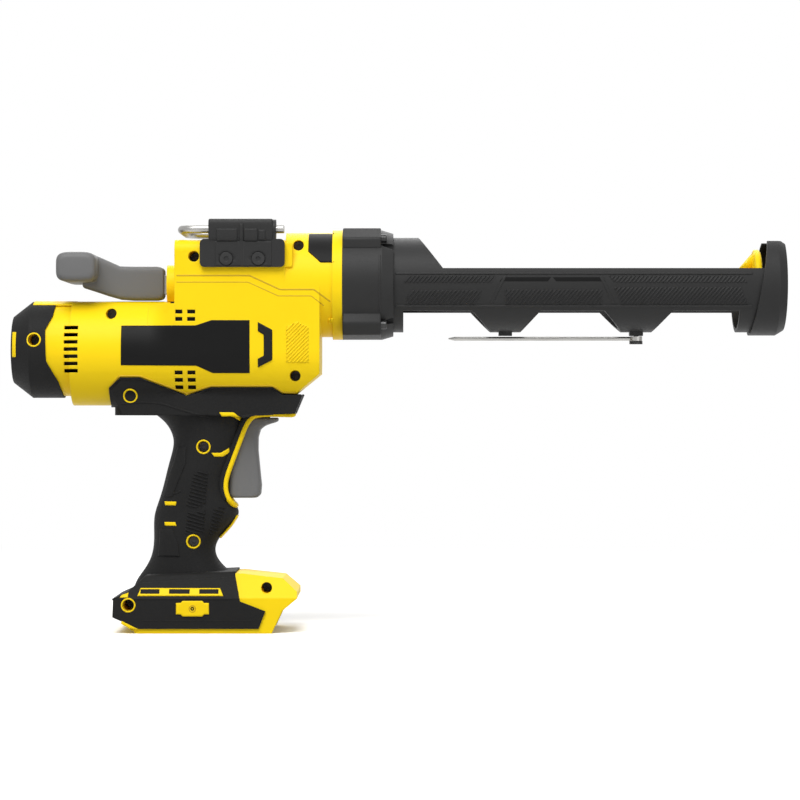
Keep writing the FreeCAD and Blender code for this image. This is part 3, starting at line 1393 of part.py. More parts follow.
def hole_outline(teeth, module, turned=0):
    """Outline of the toothed hole in an internal gear, whose spaces are teeth of this outline."""
    module = float(module)
    tip = teeth * module / 2 + module * DEDENDUM_SHARE
    root = teeth * module / 2 - module * ADDENDUM_SHARE
    fill = (1 + BACKLASH_SHARE) / 2
    return ring_of_teeth(tooth_points(teeth, module, tip, root, fill), teeth, turned)


def gear_x(outline, start, end, bore_radius, y, z):
    """Gear along X from an outline round its axis."""
    solid = end_slab([(float(y) + u, float(z) + v) for u, v in outline], start, end)
    return solid.cut(rod_x(start - d.overrun, end + d.overrun, bore_radius, z, y))


def gear_y(outline, start, end, bore_radius, x, z):
    """Gear along Y from an outline round its axis."""
    solid = side_slab([(float(x) + u, float(z) + v) for u, v in outline], start, end)
    return solid.cut(rod_y(start - d.overrun, end + d.overrun, bore_radius, x, z))


# Planetary stage

ring_rim = d.planet_module * (RING_TEETH / 2 + DEDENDUM_SHARE) + d.ring_gear_rim
planet_circle = d.planet_module * (SUN_TEETH + PLANET_TEETH) / 2
carrier_start = stage_end + d.carrier_gap
carrier_end = carrier_start + d.carrier_plate
bevel_cone = math.atan(BEVEL_PINION_TEETH / BEVEL_GEAR_TEETH)
bevel_gear_radius = d.bevel_module * BEVEL_GEAR_TEETH / 2
bevel_pinion_radius = d.bevel_module * BEVEL_PINION_TEETH / 2
pinion_big_end = d.cross_x - bevel_gear_radius
pinion_small_end = pinion_big_end + d.bevel_face * math.cos(bevel_cone)
bearing_front = d.gearbox_front - d.motor_face / 2

feature("sun_pinion", gear_x(gear_outline(SUN_TEETH, d.planet_module), d.stage_rear, stage_end,
                             d.motor_shaft_radius, 0, d.motor_axis_height))
axis_z = d.motor_axis_height.value
ring_blank = rod_x(d.stage_rear, stage_end, ring_rim, d.motor_axis_height)
ring_spaces = [(u, axis_z + v) for u, v in hole_outline(RING_TEETH, d.planet_module, HALF_STEP_SHARE)]
ring_hole = end_slab(ring_spaces, d.stage_rear - d.overrun, stage_end + d.overrun)
feature("ring_gear", ring_blank.cut(ring_hole))
planet_places = []
for number in range(PLANETS):
    angle = 2 * math.pi * (number / PLANETS) + math.pi / 2
    planet_places.append((planet_circle * math.cos(angle),
                          d.motor_axis_height + planet_circle * math.sin(angle)))
planet_outline = gear_outline(PLANET_TEETH, d.planet_module)
for number, (y, z) in enumerate(planet_places, start=1):
    feature(f"planet_gear_{number}", gear_x(planet_outline, d.stage_rear, stage_end,
                                            d.planet_pin_radius + d.running_fit, y, z))
feature("planet_pins", Part.makeCompound([rod_x(d.stage_rear, carrier_end, d.planet_pin_radius, z, y)
                                          for y, z in planet_places]))
carrier = fused([
    rod_x(carrier_start, carrier_end, d.carrier_radius, d.motor_axis_height),
    rod_x(carrier_start, pinion_small_end, d.carrier_shaft_radius, d.motor_axis_height),
])
pin_holes = [rod_x(d.stage_rear, carrier_end, d.planet_pin_radius + d.seat_fit, z, y)
             for y, z in planet_places]
feature("planet_carrier", carrier.cut(pin_holes))
turned_body("carrier_bearing", motor_place, ring_outline(
    bearing_front - d.carrier_bearing_length, bearing_front, d.carrier_shaft_radius + d.running_fit,
    d.carrier_bearing_radius))
nose_seat = d.motor_nose_radius + d.seat_fit
gear_seat = ring_rim + d.seat_fit
bearing_seat = d.carrier_bearing_radius + d.seat_fit
shaft_hole = d.carrier_shaft_radius + d.motor_face / 2
gearbox_radius = d.motor_radius - d.wall - d.seat_fit
turned_body("gearbox_housing", motor_place, [
    (d.gearbox_rear, nose_seat), (d.gearbox_rear + d.gearbox_face, nose_seat),
    (d.gearbox_rear + d.gearbox_face, gear_seat), (d.gear_room_front, gear_seat),
    (d.gear_room_front, bearing_seat), (bearing_front, bearing_seat),
    (bearing_front, shaft_hole), (d.gearbox_front, shaft_hole), (d.gearbox_front, gearbox_radius),
    (d.gearbox_rear, gearbox_radius),
])


# Right-angle stage

def bevel_outline(teeth, module, cone, turned):
    """Toothed outline of a bevel gear where its pitch cone meets its back plane."""
    module = float(module)
    pitch_radius = teeth * module / 2
    from_apex = pitch_radius / math.tan(cone)
    cone_length = pitch_radius / math.sin(cone)
    tip = from_apex * math.tan(cone + math.atan(module * ADDENDUM_SHARE / cone_length))
    root = from_apex * math.tan(cone - math.atan(module * DEDENDUM_SHARE / cone_length))
    lean = module * math.tan(math.radians(PRESSURE_ANGLE)) / pitch_radius
    middle = math.pi * (1 - BEVEL_BACKLASH_SHARE) / (2 * teeth)
    points = [(root, middle + lean * DEDENDUM_SHARE), (pitch_radius, middle),
              (tip, middle - lean * ADDENDUM_SHARE)]
    return ring_of_teeth(points, teeth, turned)


def bevel_teeth(corners, scale):
    """Ruled solid between the outline at the back plane and the same outline drawn in toward the apex."""
    apex = Vector(d.cross_x, 0, d.motor_axis_height)
    wires = []
    for share in (1, scale):
        points = [apex + (corner - apex) * share for corner in corners]
        wires.append(Part.makePolygon(points + points[:1]))
    return Part.makeLoft(wires, True, True)


gear_cone = math.pi / 2 - bevel_cone
cone_length = bevel_pinion_radius / math.sin(bevel_cone)
drawn_in = 1 - float(d.bevel_face / cone_length)

pinion_corners = [Vector(pinion_big_end, u, axis_z + v)
                  for u, v in bevel_outline(BEVEL_PINION_TEETH, d.bevel_module, bevel_cone, 0)]
pinion_hub = rod_x(pinion_big_end - d.bevel_back, pinion_big_end, bevel_pinion_radius - d.bevel_hub / 2,
                   d.motor_axis_height)
pinion_bore = rod_x(pinion_big_end - d.bevel_back - d.overrun, d.cross_x, d.carrier_shaft_radius,
                    d.motor_axis_height)
feature("bevel_pinion", bevel_teeth(pinion_corners, drawn_in).fuse(pinion_hub).cut(pinion_bore))

gear_teeth_outline = bevel_outline(BEVEL_GEAR_TEETH, d.bevel_module, gear_cone, HALF_STEP_SHARE)
gear_corners = [Vector(d.cross_x.value + u, bevel_pinion_radius.value, axis_z + v)
                for u, v in gear_teeth_outline]
gear_root = min(math.hypot(u, v) for u, v in gear_teeth_outline)
gear_rim = bevel_gear_radius + d.bevel_module / 2
gear_back = bevel_pinion_radius + d.bevel_back
gear_limit = rod_y(0, gear_back, gear_rim, d.cross_x, d.motor_axis_height)
gear_disc = rod_y(bevel_pinion_radius, gear_back, gear_root, d.cross_x, d.motor_axis_height)
gear_bore = rod_y(-d.overrun, gear_back + d.overrun, d.cross_shaft_radius, d.cross_x, d.motor_axis_height)
feature("bevel_gear", bevel_teeth(gear_corners, drawn_in).common(gear_limit).fuse(gear_disc).cut(gear_bore))

(cross_x, cross_z), (drive_x, drive_z) = bearing_places()
shaft_length = d.shaft_left - d.shaft_right
turned_body("cross_shaft", (cross_x, d.shaft_right, cross_z),
            ring_outline(0, shaft_length, 0, d.cross_shaft_radius), "Y")
turned_body("drive_shaft", (drive_x, d.shaft_right, drive_z),
            ring_outline(0, shaft_length, 0, d.drive_shaft_radius), "Y")
spur_end = d.spur_start + d.spur_face
feature("spur_pinion", gear_y(gear_outline(SPUR_PINION_TEETH, d.spur_module), d.spur_start, spur_end,
                              d.cross_shaft_radius, cross_x, cross_z))
feature("drive_gear", gear_y(gear_outline(DRIVE_GEAR_TEETH, d.spur_module, HALF_STEP_SHARE), d.spur_start,
                             spur_end, d.drive_shaft_radius + d.running_fit, drive_x, drive_z))
feature("rack_pinion", gear_y(gear_outline(RACK_PINION_TEETH, d.rack_module), -d.rod_width / 2,
                              d.rod_width / 2, d.drive_shaft_radius, drive_x, drive_z))
turned_body("clutch_hub", (drive_x, d.clutch_start, drive_z),
            ring_outline(0, d.clutch_length, d.drive_shaft_radius, d.clutch_radius), "Y")


def shaft_bearings(shaft_radius, x, z):
    """A bearing at each end of a cross shaft."""
    rings = []
    for start in (d.shaft_right, d.shaft_left - d.shaft_bearing_length):
        end = start + d.shaft_bearing_length
        rings.append(rod_y(start, end, d.shaft_bearing_radius, x, z)
                     .cut(rod_y(start, end, shaft_radius + d.running_fit, x, z)))
    return Part.makeCompound(rings)


feature("cross_bearings", shaft_bearings(d.cross_shaft_radius, cross_x, cross_z))
feature("drive_bearings", shaft_bearings(d.drive_shaft_radius, drive_x, drive_z))


# Checks and files

doc.recompute()
for item in doc.Objects:
    if "Invalid" in item.State or "Error" in item.State:
        raise ValueError(f"{item.Label}: {item.State}")
for part in parts:
    if part.Shape.isNull() or not part.Shape.isValid():
        raise ValueError(f"{part.Label}: no valid shape")
os.makedirs("parts", exist_ok=True)
for part in parts:
    part.Shape.exportStep(f"parts/{part.Label}.step")
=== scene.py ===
# %% [markdown]
# # A cordless caulking tool
# The tool pushes sealant out of a cartridge that lies in its open cradle. A yellow housing holds the motor and the
# gears, rubber covers the grip, the foot and the rear, and a grey handle draws the plunger back by hand. The packed
# model gives every piece its true size and place, so this file adds finish: materials, soft edges and raised details.

# %% Load the frame
import json
import math
import bpy
import numpy as np
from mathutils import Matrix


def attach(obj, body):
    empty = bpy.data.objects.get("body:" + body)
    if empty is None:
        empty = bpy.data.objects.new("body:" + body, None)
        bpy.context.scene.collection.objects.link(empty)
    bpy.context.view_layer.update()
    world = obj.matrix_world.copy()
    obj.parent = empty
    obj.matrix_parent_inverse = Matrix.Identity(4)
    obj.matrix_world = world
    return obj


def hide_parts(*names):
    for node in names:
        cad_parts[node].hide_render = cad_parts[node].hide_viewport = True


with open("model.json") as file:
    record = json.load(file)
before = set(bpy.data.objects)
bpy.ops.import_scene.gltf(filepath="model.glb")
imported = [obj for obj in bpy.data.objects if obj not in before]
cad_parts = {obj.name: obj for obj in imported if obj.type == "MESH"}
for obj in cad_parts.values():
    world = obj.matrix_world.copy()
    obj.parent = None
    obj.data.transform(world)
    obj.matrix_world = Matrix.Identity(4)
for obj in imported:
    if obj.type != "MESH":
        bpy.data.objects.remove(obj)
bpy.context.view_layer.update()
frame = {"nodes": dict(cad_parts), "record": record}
nodes = frame["nodes"]
MM = 0.001

# %% [markdown]
# ## Camera
# The photograph looks straight at the tool's right side from about 2 m, level with the middle of its height, so the
# barrel runs to the right. A near camera with a short lens would fill the picture too, but a long lens far away keeps
# the perspective as gentle as it is there.

# %% Camera
VIEW_CENTRE_MM = (0.9, 0.0, 145.5)
VIEW_DISTANCE_MM = 1960
LENS_MM = 138.9
SENSOR_MM = 36

lens = bpy.data.cameras.new("photo_camera")
lens.lens = LENS_MM
lens.sensor_width = SENSOR_MM
camera = bpy.data.objects.new("photo_camera", lens)
camera.location = [VIEW_CENTRE_MM[0] * MM, -VIEW_DISTANCE_MM * MM, VIEW_CENTRE_MM[2] * MM]
camera.rotation_euler = (math.pi / 2, 0, 0)
bpy.context.collection.objects.link(camera)
bpy.context.scene.camera = camera
bpy.context.scene.view_settings.view_transform = "Standard"
print("camera at", tuple(camera.location))

# %% [markdown]
# ## Lamps
# The light is soft and even, a little stronger from above, which leaves the underside of each round form darker, as
# on the real housing. Small lamps would draw hard shadows, so three wide area lamps stand round the tool: the key
# above, a weak fill in front and one behind that lights the back and the top edges.

# %% Lamps
LAMPS = {
    "key_lamp": {"place": (-0.4, -1.1, 1.7), "size": 1.2, "watts": 37},
    "fill_lamp": {"place": (1.1, -1.4, 0.5), "size": 1.2, "watts": 6},
    "back_lamp": {"place": (0.2, 1.3, 1.3), "size": 1.4, "watts": 14},
}


def aim(thing, target):
    """Turns a lamp so that it shines along the line from its place to the target."""
    line = np.array(target) - np.array(thing.location)
    flat = math.hypot(line[0], line[1])
    thing.rotation_euler = (math.atan2(flat, -line[2]), 0, math.atan2(-line[0], line[1]))


for name, lamp in LAMPS.items():
    light = bpy.data.lights.new(name, "AREA")
    light.size = lamp["size"]
    light.energy = lamp["watts"]
    stand = bpy.data.objects.new(name, light)
    stand.location = lamp["place"]
    aim(stand, (0, 0, VIEW_CENTRE_MM[2] * MM))
    bpy.context.collection.objects.link(stand)
print("lamps", list(LAMPS))

# %% [markdown]
# ## Sky
# The background is white, but a white sky at full strength would flood the tool with light. The Light Path node tells
# rays apart: those from the camera, off a gloss or through glass see full white, and the light that falls on the tool
# comes from a dimmer sky. Materials need many nodes, so one helper makes a node and wires its inputs.

# %% Node helper


def new_node(tree, kind, inputs, **settings):
    """Node of a kind with its settings made, and each input set to a value or linked to another node's output."""
    node = tree.nodes.new(kind)
    for name, value in settings.items():
        setattr(node, name, value)
    for name, value in inputs.items():
        if isinstance(value, bpy.types.NodeSocket):
            tree.links.new(value, node.inputs[name])
        else:
            node.inputs[name].default_value = value
    return node


def looked_at(tree):
    """1 for rays from the camera, off a gloss or through glass, else 0: the largest of three Light Path outputs."""
    path = tree.nodes.new("ShaderNodeLightPath")
    share = path.outputs["Is Camera Ray"]
    for label in ("Is Glossy Ray", "Is Transmission Ray"):
        larger = new_node(tree, "ShaderNodeMath", {0: share, 1: path.outputs[label]}, operation="MAXIMUM")
        share = larger.outputs["Value"]
    return share


# %% Sky
SKY_LEVEL = 0.38
WHITE_LEVEL = 1.0

sky = bpy.data.worlds.new("studio_sky")
bpy.context.scene.world = sky
sky.use_nodes = True
backdrop = sky.node_tree.nodes["Background"]
backdrop.inputs["Color"].default_value = (1, 1, 1, 1)
strength = new_node(sky.node_tree, "ShaderNodeMapRange",
                    {"Value": looked_at(sky.node_tree), "To Min": SKY_LEVEL, "To Max": WHITE_LEVEL})
sky.node_tree.links.new(strength.outputs["Result"], backdrop.inputs["Strength"])
print("sky", SKY_LEVEL)

# %% [markdown]
# ## Shared effects
# Moulded plastic and rubber are never quite flat: a fine grain from the mould covers them, their colour drifts a
# little, and every edge has a small radius that catches the light, where a lighter edge colour is a painted highlight.
# Painting that onto each piece would take a texture map, so one node group gives all of it from the place in space,
# and each material sets its own grain and edge radius. A second group draws the fine lines of drawn or turned metal.

# %% New group


def new_group(name, colours, numbers):
    """Empty shader group with the given colour and number inputs, and colour, roughness and normal outputs."""
    group = bpy.data.node_groups.new(name, "ShaderNodeTree")
    for label in colours:
        group.interface.new_socket(label, in_out="INPUT", socket_type="NodeSocketColor")
    for label, value in numbers.items():
        socket = group.interface.new_socket(label, in_out="INPUT", socket_type="NodeSocketFloat")
        socket.default_value = value
    group.interface.new_socket("Colour", in_out="OUTPUT", socket_type="NodeSocketColor")
    group.interface.new_socket("Roughness", in_out="OUTPUT", socket_type="NodeSocketFloat")
    group.interface.new_socket("Normal", in_out="OUTPUT", socket_type="NodeSocketVector")
    return group, group.nodes.new("NodeGroupInput").outputs, group.nodes.new("NodeGroupOutput").inputs


# %% Nodes of a group
EDGE_SAMPLES = 6
TEXTURE_RANGE = (0.3, 0.7)


def noise(group, place, scale, detail):
    """Noise texture read at a place."""
    return new_node(group, "ShaderNodeTexNoise", {"Vector": place, "Scale": scale, "Detail": detail}).outputs["Fac"]


def spread(group, value, low, high, start, end):
    """Value carried along a straight line from the range start to end into the range low to high."""
    limits = {"From Min": start, "From Max": end, "To Min": low, "To Max": high}
    return new_node(group, "ShaderNodeMapRange", {"Value": value, **limits}).outputs["Result"]


def mix_colours(group, share, first, second):
    """The first colour times 1 less the share, plus the second colour times the share."""
    inputs = {"Factor": share, "A": first, "B": second}
    return new_node(group, "ShaderNodeMix", inputs, data_type="RGBA").outputs["Result"]


def rounded_edge(group, radius):
    """Normal that the Bevel node turns smoothly over every edge within the radius."""
    return new_node(group, "ShaderNodeBevel", {"Radius": radius}, samples=EDGE_SAMPLES).outputs["Normal"]


def put_out(group, given, result, colour, texture, depth, normal):
    """Puts out the colour, a roughness that follows the texture from smooth to rough, and the texture's relief."""
    rough = spread(group, texture, given["Smooth"], given["Rough"], *TEXTURE_RANGE)
    relief = new_node(group, "ShaderNodeBump",
                      {"Height": texture, "Strength": depth, "Normal": normal, "Distance": MM})
    group.links.new(colour, result["Colour"])
    group.links.new(rough, result["Roughness"])
    group.links.new(relief.outputs["Normal"], result["Normal"])


# %% Group for moulded surfaces
DRIFT_RANGE = (0.35, 0.7)
MOULD_DRIFT_PER_METRE = 14
# Range and largest share of the lighter edge colour, a painted highlight.
EDGE_HIGHLIGHT_RANGE = (0.995, 0.85)
EDGE_HIGHLIGHT_SHARE = 0.6


def moulded_group():
    """Grain, drifting colour, a painted highlight on the edges and rounded edges for moulded plastic and rubber.

    The rounded normal leaves the plain one only near an edge. There the dot product of the two falls below 1, and the
    share of the lighter edge colour, a painted highlight, grows as it falls.
    """
    group, given, result = new_group("moulded_surface", ("Main colour", "Other colour", "Edge colour"), {
        "Smooth": 0.4, "Rough": 0.55, "Grain per metre": 1800, "Grain depth": 0.1, "Edge radius": 0.6 * MM,
        "Drift": 0.5})
    place = group.nodes.new("ShaderNodeTexCoord").outputs["Object"]
    grain = noise(group, place, given["Grain per metre"], detail=3)
    drift = noise(group, place, MOULD_DRIFT_PER_METRE, detail=4)
    normal = rounded_edge(group, given["Edge radius"])
    plain = group.nodes.new("ShaderNodeNewGeometry").outputs["Normal"]
    likeness = new_node(group, "ShaderNodeVectorMath", {0: normal, 1: plain}, operation="DOT_PRODUCT")
    # Share of the lighter edge colour near each edge: a painted highlight.
    edge_highlight = spread(group, likeness.outputs["Value"], 0.0, EDGE_HIGHLIGHT_SHARE, *EDGE_HIGHLIGHT_RANGE)
    share = spread(group, drift, 0.0, given["Drift"], *DRIFT_RANGE)
    body = mix_colours(group, share, given["Main colour"], given["Other colour"])
    colour = mix_colours(group, edge_highlight, body, given["Edge colour"])
    put_out(group, given, result, colour, grain, given["Grain depth"], normal)
    return group


MOULDED = moulded_group()
print("group", MOULDED.name, len(MOULDED.nodes), "nodes")

# %% Group for metal
DRAWN_STRETCH = (0.04, 1, 1)
METAL_DRIFT_PER_METRE = 40


def metal_group():
    """Fine drawn lines, drifting polish and rounded edges for steel, bronze and alloy: the noise is stretched along x
    until it turns into lines."""
    group, given, result = new_group("drawn_metal", ("Main colour", "Other colour"), {
        "Smooth": 0.25, "Rough": 0.45, "Lines per metre": 900, "Line depth": 0.06, "Edge radius": 0.3 * MM,
        "Drift": 0.6})
    place = group.nodes.new("ShaderNodeTexCoord").outputs["Object"]
    drawn = new_node(group, "ShaderNodeMapping", {"Vector": place, "Scale": DRAWN_STRETCH})
    lines = noise(group, drawn.outputs["Vector"], given["Lines per metre"], detail=4)
    drift = noise(group, place, METAL_DRIFT_PER_METRE, detail=5)
    normal = rounded_edge(group, given["Edge radius"])
    share = spread(group, drift, 0.0, given["Drift"], *DRIFT_RANGE)
    colour = mix_colours(group, share, given["Main colour"], given["Other colour"])
    put_out(group, given, result, colour, lines, given["Line depth"], normal)
    return group


METAL = metal_group()
print("group", METAL.name, len(METAL.nodes), "nodes")

# %% [markdown]
# ## Finishes
# Each finish is one Principled shader fed by a group. The yellow is a satin moulded plastic, the rubber is nearly
# black and matt, the cradle is a slightly lighter black plastic, and the handle and trigger are mid grey. Screws are
# black steel, the hook and the wire are zinc plated. A plain colour would do for the gears inside, but they get their
# own metals too, so that an opened tool looks right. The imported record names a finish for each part.

# %% Colours and values of the finishes


def grey(level):
    """Neutral linear colour of one level."""
    return (level, level, level, 1)


PURE_METAL = {"group": METAL, "metallic": 1.0, "specular": 0.5}
# The edge colour of each moulded finish is lighter than its main colour: a painted highlight on the edges.
FINISHES = {
    "yellow_plastic": {
        "group": MOULDED, "Main colour": (0.93, 0.66, 0.008, 1), "Other colour": (0.89, 0.60, 0.007, 1),
        "Edge colour": (0.96, 0.73, 0.03, 1), "Smooth": 0.36, "Rough": 0.48, "Grain depth": 0.03,
        "Edge radius": 0.9 * MM, "specular": 0.1},
    "black_rubber": {
        "group": MOULDED, "Main colour": grey(0.009), "Other colour": grey(0.013), "Edge colour": grey(0.028),
        "Smooth": 0.55, "Rough": 0.75, "Grain depth": 0.16, "Grain per metre": 1400, "Edge radius": 0.6 * MM,
        "specular": 0.14},
    "black_plastic": {
        "group": MOULDED, "Main colour": grey(0.018), "Other colour": grey(0.023), "Edge colour": grey(0.045),
        "Smooth": 0.42, "Rough": 0.6, "Grain depth": 0.08, "Edge radius": 0.6 * MM, "specular": 0.2},
    "grey_plastic": {
        "group": MOULDED, "Main colour": grey(0.135), "Other colour": grey(0.15), "Edge colour": grey(0.19),
        "Smooth": 0.42, "Rough": 0.58, "Grain depth": 0.06, "Edge radius": 1.0 * MM, "specular": 0.25},
    "dark_steel": {
        **PURE_METAL, "Main colour": grey(0.035), "Other colour": grey(0.055), "Smooth": 0.32, "Rough": 0.5,
        "metallic": 0.8},
    "bright_steel": {
        **PURE_METAL, "Main colour": (0.36, 0.355, 0.34, 1), "Other colour": (0.28, 0.275, 0.265, 1),
        "Smooth": 0.28, "Rough": 0.44},
    "gear_steel": {
        **PURE_METAL, "Main colour": grey(0.4), "Other colour": grey(0.32), "Smooth": 0.28, "Rough": 0.42},
    "cast_alloy": {
        **PURE_METAL, "Main colour": grey(0.5), "Other colour": grey(0.42), "Smooth": 0.4, "Rough": 0.6},
    "bronze": {
        **PURE_METAL, "Main colour": (0.62, 0.40, 0.16, 1), "Other colour": (0.52, 0.32, 0.12, 1),
        "Smooth": 0.25, "Rough": 0.42},
    "circuit_board": {
        "group": MOULDED, "Main colour": (0.01, 0.12, 0.04, 1), "Other colour": (0.012, 0.15, 0.05, 1),
        "Edge colour": (0.03, 0.2, 0.08, 1), "Smooth": 0.25, "Rough": 0.35, "Grain depth": 0.02,
        "specular": 0.5},
    "shadow_line": {
        "group": MOULDED, "Main colour": (0.56, 0.36, 0.005, 1), "Other colour": (0.52, 0.33, 0.005, 1),
        "Edge colour": (0.62, 0.41, 0.01, 1), "Smooth": 0.5, "Rough": 0.6, "Grain depth": 0.03,
        "Edge radius": 0.1 * MM, "specular": 0.3},
    # Near-black for the bare labels and plates; the same finish is painted shade in the vents, the cradle's slots and
    # the badge's hole.
    "black_label_and_shade": {
        "group": MOULDED, "Main colour": grey(0.003), "Other colour": grey(0.005), "Edge colour": grey(0.012),
        "Smooth": 0.45, "Rough": 0.55, "Grain depth": 0.02, "Edge radius": 0.2 * MM, "specular": 0.12},
}

# %% Materials


def finish(name, values):
    """Material with one Principled shader whose colour, roughness and normal come from the finish's group."""
    material = bpy.data.materials.new(name)
    material.use_nodes = True
    tree = material.node_tree
    shader = tree.nodes["Principled BSDF"]
    shader.inputs["Metallic"].default_value = values.get("metallic", 0.0)
    shader.inputs["Specular IOR Level"].default_value = values["specular"]
    effect = tree.nodes.new("ShaderNodeGroup")
    effect.node_tree = values["group"]
    for label in effect.inputs.keys():
        if label in values:
            effect.inputs[label].default_value = values[label]
    for label, socket in (("Colour", "Base Color"), ("Roughness", "Roughness"), ("Normal", "Normal")):
        tree.links.new(effect.outputs[label], shader.inputs[socket])
    return material


materials = {name: finish(name, values) for name, values in FINISHES.items()}
for part in frame["record"]["subparts"]:
    data = nodes[part["node"]].data
    data.materials.clear()
    data.materials.append(materials[part["material_slot"]])
print("finishes", len(materials))

# %% [markdown]
# ## From a grid to a mesh
# Every new piece is a grid of points worked out with numpy. Boxes and modifiers could give rough shapes too, but a
# formula puts each point where the real surface is. A grid becomes a mesh when each four neighbours are joined by a
# face, and one small function does that for all of them. Most details sit on both sides of the tool, so the right
# side is made and then mirrored. An open sheet gets a wall from a Solidify modifier, so that it is a solid too.

# %% Faces of a grid
RIGHT, UP = (0, -1, 0), (0, 0, 1)


def grid_faces(rows, columns, ring=False):
    """Quads between neighbouring points of a grid; in a ring the last column joins the first."""
    row = np.arange(rows - 1)[:, None] * columns
    column = np.arange(columns if ring else columns - 1)[None, :]
    after = (column + 1) % columns
    return np.stack([row + column, row + after, row + columns + after, row + columns + column], -1).reshape(-1, 4)


def facing(points, faces, wanted):
    """Faces in the order that makes the sum of their normals point along the wanted direction."""
    first, second, third = points[faces[:, 0]], points[faces[:, 1]], points[faces[:, 2]]
    total = np.cross(second - first, third - first).sum(axis=0)
    return faces if total @ np.array(wanted) > 0 else faces[:, ::-1]


def mirrored(surface):
    """The same surface on the tool's other side: y changes sign, and the faces turn round."""
    points, faces, *caps = surface
    return (points * np.array([1, -1, 1]), faces[:, ::-1], *[cap[::-1] for cap in caps])


def both_sides(points, shape, ring=False):
    """Grid of points as a surface that faces out on the tool's right, and its mirror image on the left."""
    right = points, facing(points, grid_faces(*shape, ring), RIGHT)
    return [right, mirrored(right)]


# %% New piece


def new_piece(name, surfaces, look, body="housing", wall=0.0):
    """Object from surfaces in millimetres, smooth shaded, with one finish; an open sheet gets a wall inwards.

    A surface is its points, its four-sided faces and, where it has them, its end caps. The piece gets its look's
    material.
    """
    points = np.concatenate([surface[0] for surface in surfaces]) * MM
    starts = np.cumsum([0] + [len(surface[0]) for surface in surfaces[:-1]])
    quads = [face for start, surface in zip(starts, surfaces) for face in (surface[1] + start).tolist()]
    caps = [(cap + start).tolist() for start, surface in zip(starts, surfaces) for cap in surface[2:]]
    mesh = bpy.data.meshes.new(name)
    mesh.from_pydata(points, [], quads + caps)
    mesh.polygons.foreach_set("use_smooth", np.ones(len(mesh.polygons), dtype=bool))
    mesh.materials.append(materials[look])
    mesh.update()
    piece = bpy.data.objects.new(name, mesh)
    bpy.context.collection.objects.link(piece)
    if wall:
        solid = piece.modifiers.new("wall", "SOLIDIFY")
        solid.thickness = wall * MM
        solid.offset = -1
    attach(piece, body)
    print(name, len(mesh.polygons), "faces")
    return piece


# %% [markdown]
# ## Lofts
# A loft carries one section along an axis while its limits follow two lines. A superellipse is a good section for
# moulded parts: with the power 2 it is an ellipse, and with a higher power it turns into a rectangle with round
# corners. A bevelled box would show flat facets and even edges, which these smooth forms don't have.

# %% Round borders and closed forms


def quarter_round(distance, edge):
    """Height share of a rounded border: a quarter circle that reaches 1 at the edge distance."""
    return np.sqrt(1 - (1 - np.clip(distance / edge, 0, 1)) ** 2)


def closed(rings):
    """Surface over rings of points laid one after another, with a flat cap at each end, turned to face outwards."""
    count, around = rings.shape[:2]
    points = rings.reshape(-1, 3)
    faces = grid_faces(count, around, ring=True)
    corner = points[faces]
    out = np.cross(corner[:, 1] - corner[:, 0], corner[:, 2] - corner[:, 0])
    middle = np.repeat(rings.mean(axis=1)[:-1], around, axis=0)
    first, last = np.arange(around), np.arange(len(points) - around, len(points))
    if np.einsum("ij,ij->i", corner[:, 0] - middle, out).sum() < 0:
        return points, faces[:, ::-1], first, last[::-1]
    return points, faces, first[::-1], last


# %% Loft
ALONG_X = ("along", "half", "span")
ALONG_Y = ("half", "along", "span")
ALONG_Z = ("span", "half", "along")
END_RINGS = 7
BODY_RINGS = 60


def loft(stations, low, high, half, power, end, order, around=72):
    """Closed form along one axis, cut at each station by a superellipse |a|^power + |b|^power = 1.

    The section spans low to high one way and -half to half the other. Within the end distance of both ends it draws
    in on a quarter circle. The order says for x, y and z which is along, which is the span and which is the half.
    """
    first, last = stations[0], stations[-1]
    steps = end * (1 - np.cos(np.linspace(0, math.pi / 2, END_RINGS)))
    body = np.linspace(first + end, last - end, BODY_RINGS)
    place = np.unique(np.concatenate([first + steps, last - steps, body]))
    inset = end * (1 - quarter_round(np.minimum(place - first, last - place), end))
    low, high, half = (np.interp(place, stations, np.broadcast_to(line, len(stations)))
                       for line in (low, high, half))
    turn = np.linspace(0, 2 * math.pi, around, endpoint=False)
    bend = 2 / power
    across = np.sign(np.cos(turn)) * np.abs(np.cos(turn)) ** bend
    up = np.sign(np.sin(turn)) * np.abs(np.sin(turn)) ** bend
    between = ((low + high) / 2)[:, None] + ((high - low) / 2 - inset)[:, None] * up[None, :]
    wide = (half - inset)[:, None] * across[None, :]
    spans = {"along": np.broadcast_to(place[:, None], between.shape), "span": between, "half": wide}
    return closed(np.stack([spans[name] for name in order], axis=-1))


# %% Block


def block(x_span, y_span, z_span, power, end, order, around=72):
    """Rounded block that fills three spans: a loft whose section stays the same, moved to the middle of its half."""
    spans = dict(zip(order, (x_span, y_span, z_span)))
    half = (spans["half"][1] - spans["half"][0]) / 2
    points, *rest = loft(spans["along"], *spans["span"], half, power, end, order, around)
    points[:, order.index("half")] += (spans["half"][0] + spans["half"][1]) / 2
    return points, *rest


# %% [markdown]
# ## Handle and trigger
# The grey handle on the plunger is a smooth moulding: a flat neck that rises to a bar for two fingers. The trigger is
# a smooth moulding too, hollowed at the front for one finger, with a short horn at its top and a lug for its pin.
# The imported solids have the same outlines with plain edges, so lofts of the same size stand for them.

# %% Pull handle
NECK_X, NECK_LOW, NECK_HIGH = np.array([
    (-200, 216.6, 237.6), (-192.5, 214.2, 237.4), (-184, 211.4, 233.7), (-176.2, 209.2, 230.2),
    (-168, 208.6, 230.0), (-152.5, 208.6, 230.0), (-150, 209.2, 229.4), (-148.4, 210.2, 228.4)]).T
BAR_X, BAR_Y, BAR_Z = (-214.6, -189.4), (-31.0, 31.0), (219.6, 238.3)

